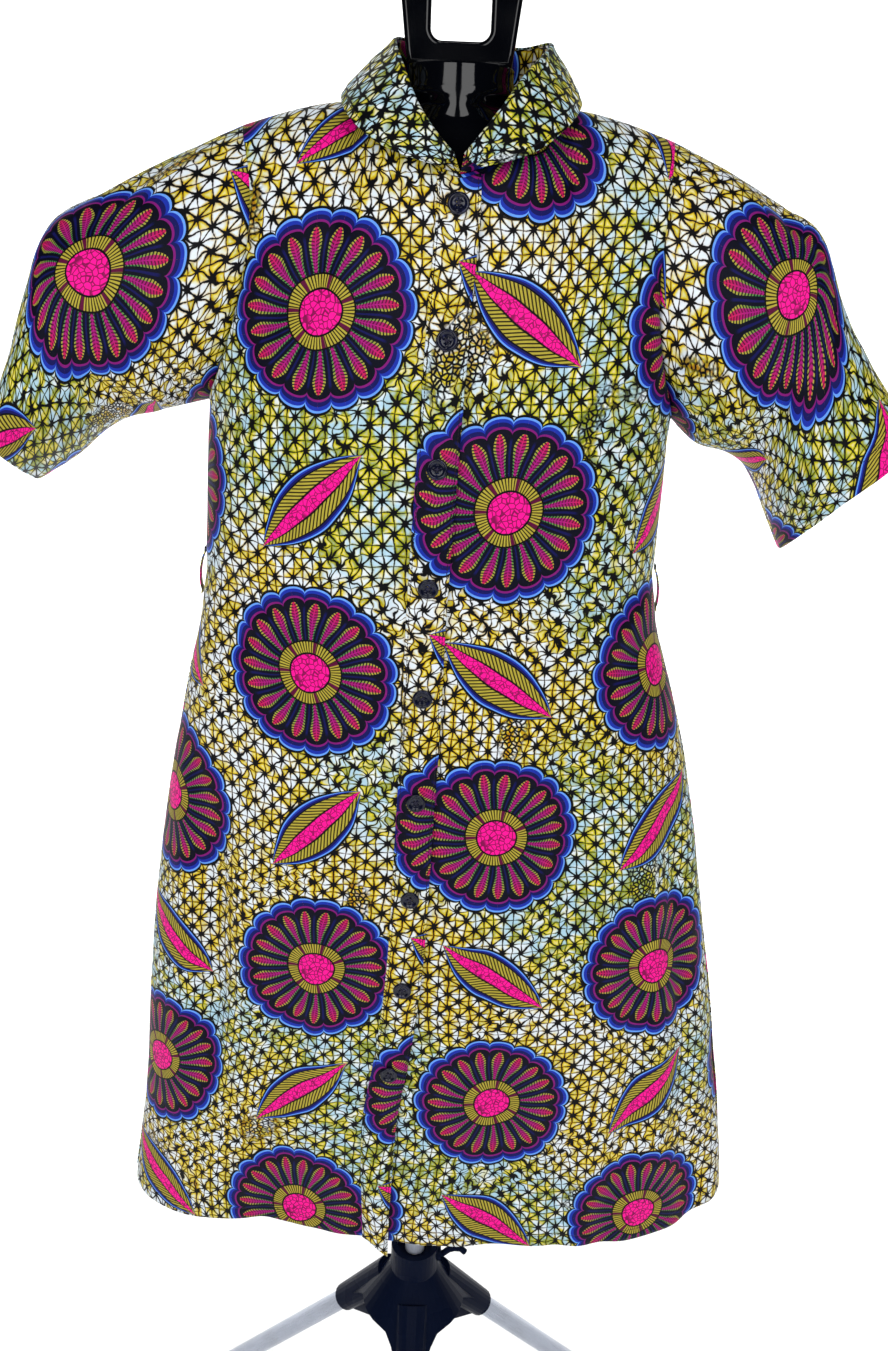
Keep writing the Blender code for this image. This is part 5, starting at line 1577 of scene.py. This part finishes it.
def thread_mesh():
    """Crossed pairs of stitches through the four holes."""
    mesh = bmesh.new()
    for turn in (math.pi / 4, -math.pi / 4):
        for shift in (-THREAD_APART / 2, THREAD_APART / 2):
            made = bmesh.ops.create_cube(mesh, size=1.0)["verts"]
            bmesh.ops.scale(mesh, verts=made, vec=(STITCH_LENGTH, THREAD_WIDTH, THREAD_WIDTH))
            bmesh.ops.translate(mesh, verts=made, vec=(0.0, shift, THREAD_HEIGHT))
            bmesh.ops.rotate(mesh, verts=made, cent=(0, 0, 0), matrix=Matrix.Rotation(turn, 3, "Z"))
    round_edges(mesh, mesh.edges[:], THREAD_ROUND)
    return mesh


# The band's rows that carry a button, its clearance from them, and how each is turned from the last.
BUTTON_REACH = 0.010
BUTTON_CLEAR = 0.0001
BUTTON_SPIN = 0.35


def make_buttons():
    """Each button stands on the band where the frame has it."""
    points, normals = band_grid()
    direction = normals[:, BAND_STEPS // 2]
    middle = swayed(points[:, BAND_STEPS // 2] + direction * BAND_CROWN)
    drops = middle[:, 2]
    blank = button_mesh()
    for index in range(BUTTONS):
        drop = BUTTON_TOP + BUTTON_STEP * index
        near = np.abs(drops - drop) < BUTTON_REACH
        normal = unit(direction[near].mean(axis=0))
        seat = np.array([np.interp(drop, drops, middle[:, axis]) for axis in range(3)])
        lift = float(np.max((middle[near] - seat) @ normal)) + BUTTON_CLEAR
        lean = Vector(world_direction(normal)).to_track_quat("Z", "Y").to_matrix().to_4x4()
        spin = Matrix.Rotation(BUTTON_SPIN * index, 4, "Z")
        place = Matrix.Translation(Vector(world(seat + normal * lift))) @ lean @ spin
        name = "button_%d" % (index + 1)
        data = blank.copy()
        data.transform(place)
        made = add_object(name + "_turned", data)
        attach(made, "form")
        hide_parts(name)
        cord = thread_mesh()
        bmesh.ops.transform(cord, matrix=place, verts=cord.verts)
        sewn = finish(name + "_thread", cord, look("navy_thread"))
        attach(sewn, "form")
    bpy.data.meshes.remove(blank)


# Stretches of the form's skin, each with its first and last drop and its number of rows.
FORM_ROWS = ((-0.029, -0.006, 14), (-0.005, 0.03, 26), (0.0315, 0.20, 110), (0.205, 0.65, 56))
# Near the neck's root the section's middle is rounder than its shoulders, up to this far aside and
# fading from this drop.
NECK_BELL_REACH = 0.060
NECK_BELL_DROP, NECK_BELL_FADE = 0.045, 0.030
NECK_BELL_POWER = 1.45
# The neck's top rim is rounded by two smaller rings.
RIM_SHARE, RIM_EDGE_SHARE = 0.94, 0.985
RIM_SINK, RIM_EDGE_SINK = 0.0022, 0.0006


def make_form():
    """The moulded torso as one smooth skin."""
    drops = np.concatenate([np.linspace(first, last, count) for first, last, count in FORM_ROWS])
    turns = np.linspace(0.0, 2 * math.pi, 129)
    rows = []
    for drop in drops:
        get = FORM.at(drop)
        x = get["half_width"] * signed_power(np.sin(turns), get["pinch"])
        depth = np.where(np.cos(turns) < 0, get["back"], get["front"])
        narrow = np.abs(np.cos(turns)) ** get["pinch"]
        round_part = np.clip(1 - (x / get["half_width"]) ** 2, 0.0, 1.0)
        bell = round_part ** (0.5 * get["pinch"] ** NECK_BELL_POWER)
        blend = 1 - smooth(np.abs(x) / NECK_BELL_REACH)
        blend = blend * (1 - smooth((drop - NECK_BELL_DROP) / NECK_BELL_FADE))
        y = -depth * np.sign(np.cos(turns)) * (narrow + (bell - narrow) * blend)
        rows.append(np.stack([x, y, np.full_like(x, drop)], -1))
    points = np.array(rows)
    rim = points[:1] * np.array([RIM_SHARE, RIM_SHARE, 1.0])
    edge = points[:1] * np.array([RIM_EDGE_SHARE, RIM_EDGE_SHARE, 1.0])
    points[0, :, 2] += RIM_SINK
    edge[..., 2] += RIM_EDGE_SINK
    points = np.concatenate((rim, edge, points))
    mesh = grid_mesh(world(points), closed=True)
    for ring in (0, -1):
        level = SHOULDER_HEIGHT - points[ring, 0, 2]
        open_edges = [edge for edge in mesh.edges if edge.is_boundary]
        loop = [edge for edge in open_edges if abs(edge.verts[0].co.z - level) < 10 * MERGE]
        bmesh.ops.contextual_create(mesh, geom=loop)
    bmesh.ops.recalc_face_normals(mesh, faces=mesh.faces)
    made = finish("form_shell", mesh, look("gloss_form"), 50)
    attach(made, "form")
    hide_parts("form_body")


# The flat loop on the neck: its outline, its hole and how far its edges are rounded.
RING_HALF_WIDTH = 0.050
RING_HEIGHT = 0.106
RING_THICKNESS = 0.017
RING_HOLE_HALF_WIDTH = 0.0245
RING_HOLE_FLOOR = 0.019
RING_HOLE_ARCH = 0.026
RING_CORNER = 0.009
RING_EDGE = 0.0040


def make_hanging_loop():
    """The flat loop on the neck, its edges well rounded."""
    outline = bpy.data.curves.new("loop_outline", "CURVE")
    outline.dimensions = "2D"
    outline.fill_mode = "BOTH"
    edge = RING_EDGE
    outline.extrude = RING_THICKNESS / 2 - edge
    outline.bevel_depth = edge
    outline.bevel_resolution = 5
    outer, hole, top = RING_HALF_WIDTH - edge, RING_HOLE_HALF_WIDTH + edge, RING_HEIGHT - edge
    corner = RING_CORNER + edge
    spring, floor = top - RING_HALF_WIDTH, RING_HOLE_FLOOR - edge + corner

    def arc(across, middle, rise, first, last, aside=0.0):
        turns = np.radians(np.arange(first, last, 5))
        return [(aside + across * math.cos(a), middle + rise * math.sin(a)) for a in turns]

    foot = [(outer - 0.006, edge), (outer - 0.0045, 0.014)]
    shapes = (
        foot + [(outer, spring)] + arc(outer, spring, RING_HALF_WIDTH, 5, 180)
        + [(-outer, spring)] + [(-x, z) for x, z in reversed(foot)],
        arc(corner, floor, corner, 180, 271, corner - hole)
        + arc(corner, floor, corner, 270, 361, hole - corner) + arc(hole, spring, RING_HOLE_ARCH, 0, 181),
    )
    for points in shapes:
        spline = outline.splines.new("POLY")
        spline.points.add(len(points) - 1)
        for point, (x, z) in zip(spline.points, points):
            point.co = (x, z, 0.0, 1.0)
        spline.use_cyclic_u = True
    temporary = add_object("loop_outline", outline)
    bpy.context.view_layer.update()
    data = made_mesh(temporary)
    bpy.data.objects.remove(temporary)
    low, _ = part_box("hanging_loop")
    data.transform(Matrix.Translation((0, POLE_Y, low.z)) @ Matrix.Rotation(math.pi / 2, 4, "X"))
    data.materials.clear()
    made = add_object("hanging_loop_moulded", skin(data, look("gloss_form"), 50))
    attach(made, "form")
    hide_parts("hanging_loop")


LEG_BEARINGS = (-90, 30, 150)
LEG_SLOPE = math.radians(50)
# A web under a leg socket, seen from its side: reach from the pole and height.
WEB_OUTLINE = (
    (0.0160, 0.3400),
    (0.0487, 0.3290),
    (0.0859, 0.2831),
    (0.0846, 0.2818),
    (0.0520, 0.2880),
    (0.0160, 0.2896),
)
WEB_THICKNESS = 0.008
WEB_ROUND = 0.0012


def make_hub_webs():
    """A thin web under each leg socket, from its mouth in to the hub's skirt."""
    for index, bearing in enumerate(LEG_BEARINGS, 1):
        mesh = bmesh.new()
        corners = [mesh.verts.new((reach, -WEB_THICKNESS / 2, height)) for reach, height in WEB_OUTLINE]
        sides = bmesh.ops.extrude_face_region(mesh, geom=[mesh.faces.new(corners)])["geom"]
        moved = [item for item in sides if isinstance(item, bmesh.types.BMVert)]
        bmesh.ops.translate(mesh, verts=moved, vec=(0.0, WEB_THICKNESS, 0.0))
        bmesh.ops.recalc_face_normals(mesh, faces=mesh.faces)
        round_edges(mesh, mesh.edges[:], WEB_ROUND)
        place = Matrix.Translation((0.0, POLE_Y, 0.0)) @ Matrix.Rotation(math.radians(bearing), 4, "Z")
        bmesh.ops.transform(mesh, matrix=place, verts=mesh.verts)
        web = finish("hub_web_%d" % index, mesh, look("satin_hub"), 40)
        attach(web, "base")


def finish_stand():
    """Finishes for the stand's own nodes."""
    # The pole's tube colour is lightened 1.7 times over the legs': painted light standing in for the direct
    # light that falls on it.
    give("pole", metal_material("satin_tube_pole", (0, 0, 1), bright=1.7, metallic=0.45, rough=0.42))
    for index, bearing in enumerate(LEG_BEARINGS, 1):
        turn = math.radians(bearing)
        flat = math.cos(LEG_SLOPE)
        direction = (math.cos(turn) * flat, math.sin(turn) * flat, -math.sin(LEG_SLOPE))
        give("leg_%d" % index, metal_material("satin_tube_leg_%d" % index, direction))
    for node in ("hub", "clamp_screw"):
        give(node, look("satin_hub"))
    for node in ("foot_1", "foot_2", "foot_3"):
        give(node, look("foot_rubber"))


def give(node, material):
    """Gives a node of the frame its finish."""
    for place in frame["nodes"][node].material_slots:
        place.material = material


# The floor reaches this far to each side, rises behind into a wall, and curves between them.
FLOOR_REACH = 4.0
WALL_HEIGHT = 6.0
SWEEP = 1.6
FLOOR_SINK = 0.0005
SKY_STRENGTH = 0.34
# Each light's name, place, aim, power, width and height, and whether the form mirrors it.
LIGHTS = (
    ("window_left", (-0.87, -2.35, 2.4), (-0.87, 0.0, 1.9), 20.0, 1.25, 1.7, True),
    ("window_right", (0.87, -2.35, 2.4), (0.87, 0.0, 1.9), 20.0, 1.25, 1.7, True),
    ("top_glint", (0.1, -0.2, 3.0), (0.0, 0.0, 1.6), 1.2, 0.2, 0.2, True),
    ("key_light", (-1.9, -2.1, 1.8), (0.0, 0.05, 1.0), 24.0, 1.2, 1.2, False),
    ("fill_light", (2.3, -1.7, 1.4), (0.0, 0.05, 1.1), 20.0, 1.6, 1.6, False),
    ("left_light", (-2.4, -0.1, 1.3), (0.0, 0.05, 1.1), 4.0, 1.2, 1.2, False),
    ("rim_light", (0.6, 2.1, 2.4), (0.0, 0.05, 1.2), 10.0, 1.2, 1.2, False),
    ("backdrop_light_left", (-2.0, 1.4, 2.4), (-1.2, 4.0, 1.2), 120.0, 2.0, 2.0, False),
    ("backdrop_light_right", (2.0, 1.4, 2.4), (1.2, 4.0, 1.2), 120.0, 2.0, 2.0, False),
)
CAMERA_PLACE = (0.0075, -1.031, 1.56)
SENSOR_WIDTH = 36.0
FOCAL_LENGTH = 31.98


def make_floor():
    """A pale floor that sweeps up behind."""
    mesh = bmesh.new()
    bmesh.ops.create_grid(mesh, x_segments=1, y_segments=1, size=FLOOR_REACH)
    back = FLOOR_REACH - 0.1
    rear = [edge for edge in mesh.edges if all(vert.co.y > back for vert in edge.verts)]
    raised = bmesh.ops.extrude_edge_only(mesh, edges=rear)["geom"]
    verts = [item for item in raised if isinstance(item, bmesh.types.BMVert)]
    bmesh.ops.translate(mesh, verts=verts, vec=(0, 0, WALL_HEIGHT))
    corner = [edge for edge in mesh.edges if all(v.co.y > back and v.co.z < 0.1 for v in edge.verts)]
    round_edges(mesh, corner, SWEEP, segments=16)
    bmesh.ops.translate(mesh, verts=mesh.verts, vec=(0, 0, -FLOOR_SINK))
    made, g, shader = start_material("pale_floor", Roughness=0.9)
    place = g.place()
    tone = g.mix(g.noise(place, 0.8, 1.0), srgb(244, 244, 244), srgb(250, 250, 250))
    g.feed(shader.inputs["Base Color"], tone)
    finish("studio_floor", mesh, made, 80)


def make_lights():
    """A weak white sky, and soft lights of which only some are mirrored by the form."""
    scene = bpy.context.scene
    scene.view_settings.view_transform = "Standard"
    sky = bpy.data.worlds.new("studio")
    sky.use_nodes = True
    sky.node_tree.nodes["Background"].inputs["Color"].default_value = (1.0, 1.0, 1.0, 1.0)
    sky.node_tree.nodes["Background"].inputs["Strength"].default_value = SKY_STRENGTH
    sky.cycles_visibility.glossy = False
    scene.world = sky
    for name, place, aim, power, width, height, mirrored in LIGHTS:
        lamp = bpy.data.lights.new(name, "AREA")
        lamp.energy = power
        lamp.shape = "RECTANGLE"
        lamp.size = width
        lamp.size_y = height
        holder = add_object(name, lamp)
        holder.location = place
        holder.rotation_euler = (Vector(aim) - Vector(place)).to_track_quat("-Z", "Y").to_euler()
        holder.visible_glossy = mirrored


def make_camera():
    """The camera in front, a little above the collar."""
    scene = bpy.context.scene
    lens = bpy.data.cameras.new("studio_camera")
    lens.sensor_width = SENSOR_WIDTH
    lens.lens = FOCAL_LENGTH
    camera = add_object("studio_camera", lens)
    pitch = Matrix.Rotation(math.radians(90) - scene.dress.camera_pitch, 4, "X")
    roll = Matrix.Rotation(scene.dress.camera_roll, 4, "Z")
    camera.matrix_world = Matrix.Translation(CAMERA_PLACE) @ (pitch @ roll)
    scene.camera = camera


# ---- the add-on ----------------------------------------------------------------------------
class DressSettings(bpy.types.PropertyGroup):
    """Sizes and colours that a user would change."""

    repeat_across: FloatProperty(
        name="Repeat across", description="Width of the print's repeat", default=0.34, unit="LENGTH",
    )
    repeat_down: FloatProperty(
        name="Repeat down", description="Height of the print's repeat", default=0.31, unit="LENGTH",
    )
    flower_radius: FloatProperty(
        name="Flower radius", description="Radius of a printed flower", default=0.082, unit="LENGTH",
    )
    leaf_length: FloatProperty(
        name="Leaf length", description="Length of a printed leaf", default=0.122, unit="LENGTH",
    )
    star_across: FloatProperty(
        name="Star spacing across", description="Stars side by side", default=0.0185, unit="LENGTH",
    )
    star_down: FloatProperty(
        name="Star spacing down", description="Stars one above another", default=0.0180, unit="LENGTH",
    )
    stitch_pitch: FloatProperty(
        name="Stitch length", description="Length of a topstitch", default=0.0032, unit="LENGTH",
    )
    button_colour: FloatVectorProperty(
        name="Button", description="Colour of the buttons", default=srgb(11, 14, 32)[:3], subtype="COLOR",
    )
    metal_colour: FloatVectorProperty(
        name="Tube", description="Colour of the stand's tubes", default=srgb(178, 184, 198)[:3],
        subtype="COLOR",
    )
    camera_pitch: FloatProperty(
        name="Camera pitch", description="How far the camera looks down", default=math.radians(20),
        subtype="ANGLE",
    )
    camera_roll: FloatProperty(
        name="Camera roll", description="How far the camera is rolled", default=math.radians(2.3),
        subtype="ANGLE",
    )


class DRESS_OT_fronts(bpy.types.Operator):
    """Builds the two fronts of the dress"""

    bl_idname = "dress.fronts"
    bl_label = "Fronts"

    def execute(self, context):
        make_fronts()
        return {"FINISHED"}


class DRESS_OT_back(bpy.types.Operator):
    """Builds the back of the dress"""

    bl_idname = "dress.back"
    bl_label = "Back"

    def execute(self, context):
        make_back()
        return {"FINISHED"}


class DRESS_OT_sleeves(bpy.types.Operator):
    """Builds both sleeves"""

    bl_idname = "dress.sleeves"
    bl_label = "Sleeves"

    def execute(self, context):
        make_sleeve("sleeve_right", -1, RIGHT_SLEEVE)
        make_sleeve("sleeve_left", 1, LEFT_SLEEVE)
        return {"FINISHED"}


class DRESS_OT_collar(bpy.types.Operator):
    """Builds the collar's stand and fall"""

    bl_idname = "dress.collar"
    bl_label = "Collar"

    def execute(self, context):
        make_collar()
        return {"FINISHED"}


class DRESS_OT_band(bpy.types.Operator):
    """Builds the button band"""

    bl_idname = "dress.band"
    bl_label = "Button band"

    def execute(self, context):
        make_band()
        return {"FINISHED"}


class DRESS_OT_buttons(bpy.types.Operator):
    """Builds the buttons and their thread"""

    bl_idname = "dress.buttons"
    bl_label = "Buttons"

    def execute(self, context):
        make_buttons()
        return {"FINISHED"}


class DRESS_OT_belt_loops(bpy.types.Operator):
    """Builds the two belt loops"""

    bl_idname = "dress.belt_loops"
    bl_label = "Belt loops"

    def execute(self, context):
        make_belt_loops()
        return {"FINISHED"}


class DRESS_OT_form(bpy.types.Operator):
    """Builds the form and its hanging loop"""

    bl_idname = "dress.form"
    bl_label = "Form"

    def execute(self, context):
        make_form()
        make_hanging_loop()
        return {"FINISHED"}


class DRESS_OT_stand(bpy.types.Operator):
    """Finishes the pole, hub, legs and feet"""

    bl_idname = "dress.stand"
    bl_label = "Stand"

    def execute(self, context):
        finish_stand()
        make_hub_webs()
        return {"FINISHED"}


class DRESS_OT_stage(bpy.types.Operator):
    """Builds the floor, lights and camera"""

    bl_idname = "dress.stage"
    bl_label = "Stage"

    def execute(self, context):
        make_floor()
        make_lights()
        make_camera()
        return {"FINISHED"}


OPERATORS = (
    DRESS_OT_fronts,
    DRESS_OT_back,
    DRESS_OT_sleeves,
    DRESS_OT_collar,
    DRESS_OT_band,
    DRESS_OT_buttons,
    DRESS_OT_belt_loops,
    DRESS_OT_form,
    DRESS_OT_stand,
    DRESS_OT_stage,
)


class DRESS_PT_pieces(bpy.types.Panel):
    """Lists the pieces and their settings."""

    bl_label = "Wax Print Dress"
    bl_idname = "DRESS_PT_pieces"
    bl_space_type = "VIEW_3D"
    bl_region_type = "UI"
    bl_category = "Dress"

    def draw(self, context):
        for name in DressSettings.__annotations__:
            self.layout.prop(context.scene.dress, name)
        for operator in OPERATORS:
            self.layout.operator(operator.bl_idname)


CLASSES = (DressSettings, *OPERATORS, DRESS_PT_pieces)


def register():
    for item in CLASSES:
        bpy.utils.register_class(item)
    bpy.types.Scene.dress = PointerProperty(type=DressSettings)


def unregister():
    del bpy.types.Scene.dress
    for item in reversed(CLASSES):
        bpy.utils.unregister_class(item)


def main():
    register()
    for operator in OPERATORS:
        folder, name = operator.bl_idname.split(".")
        getattr(getattr(bpy.ops, folder), name)()


if __name__ == "__main__":
    main()
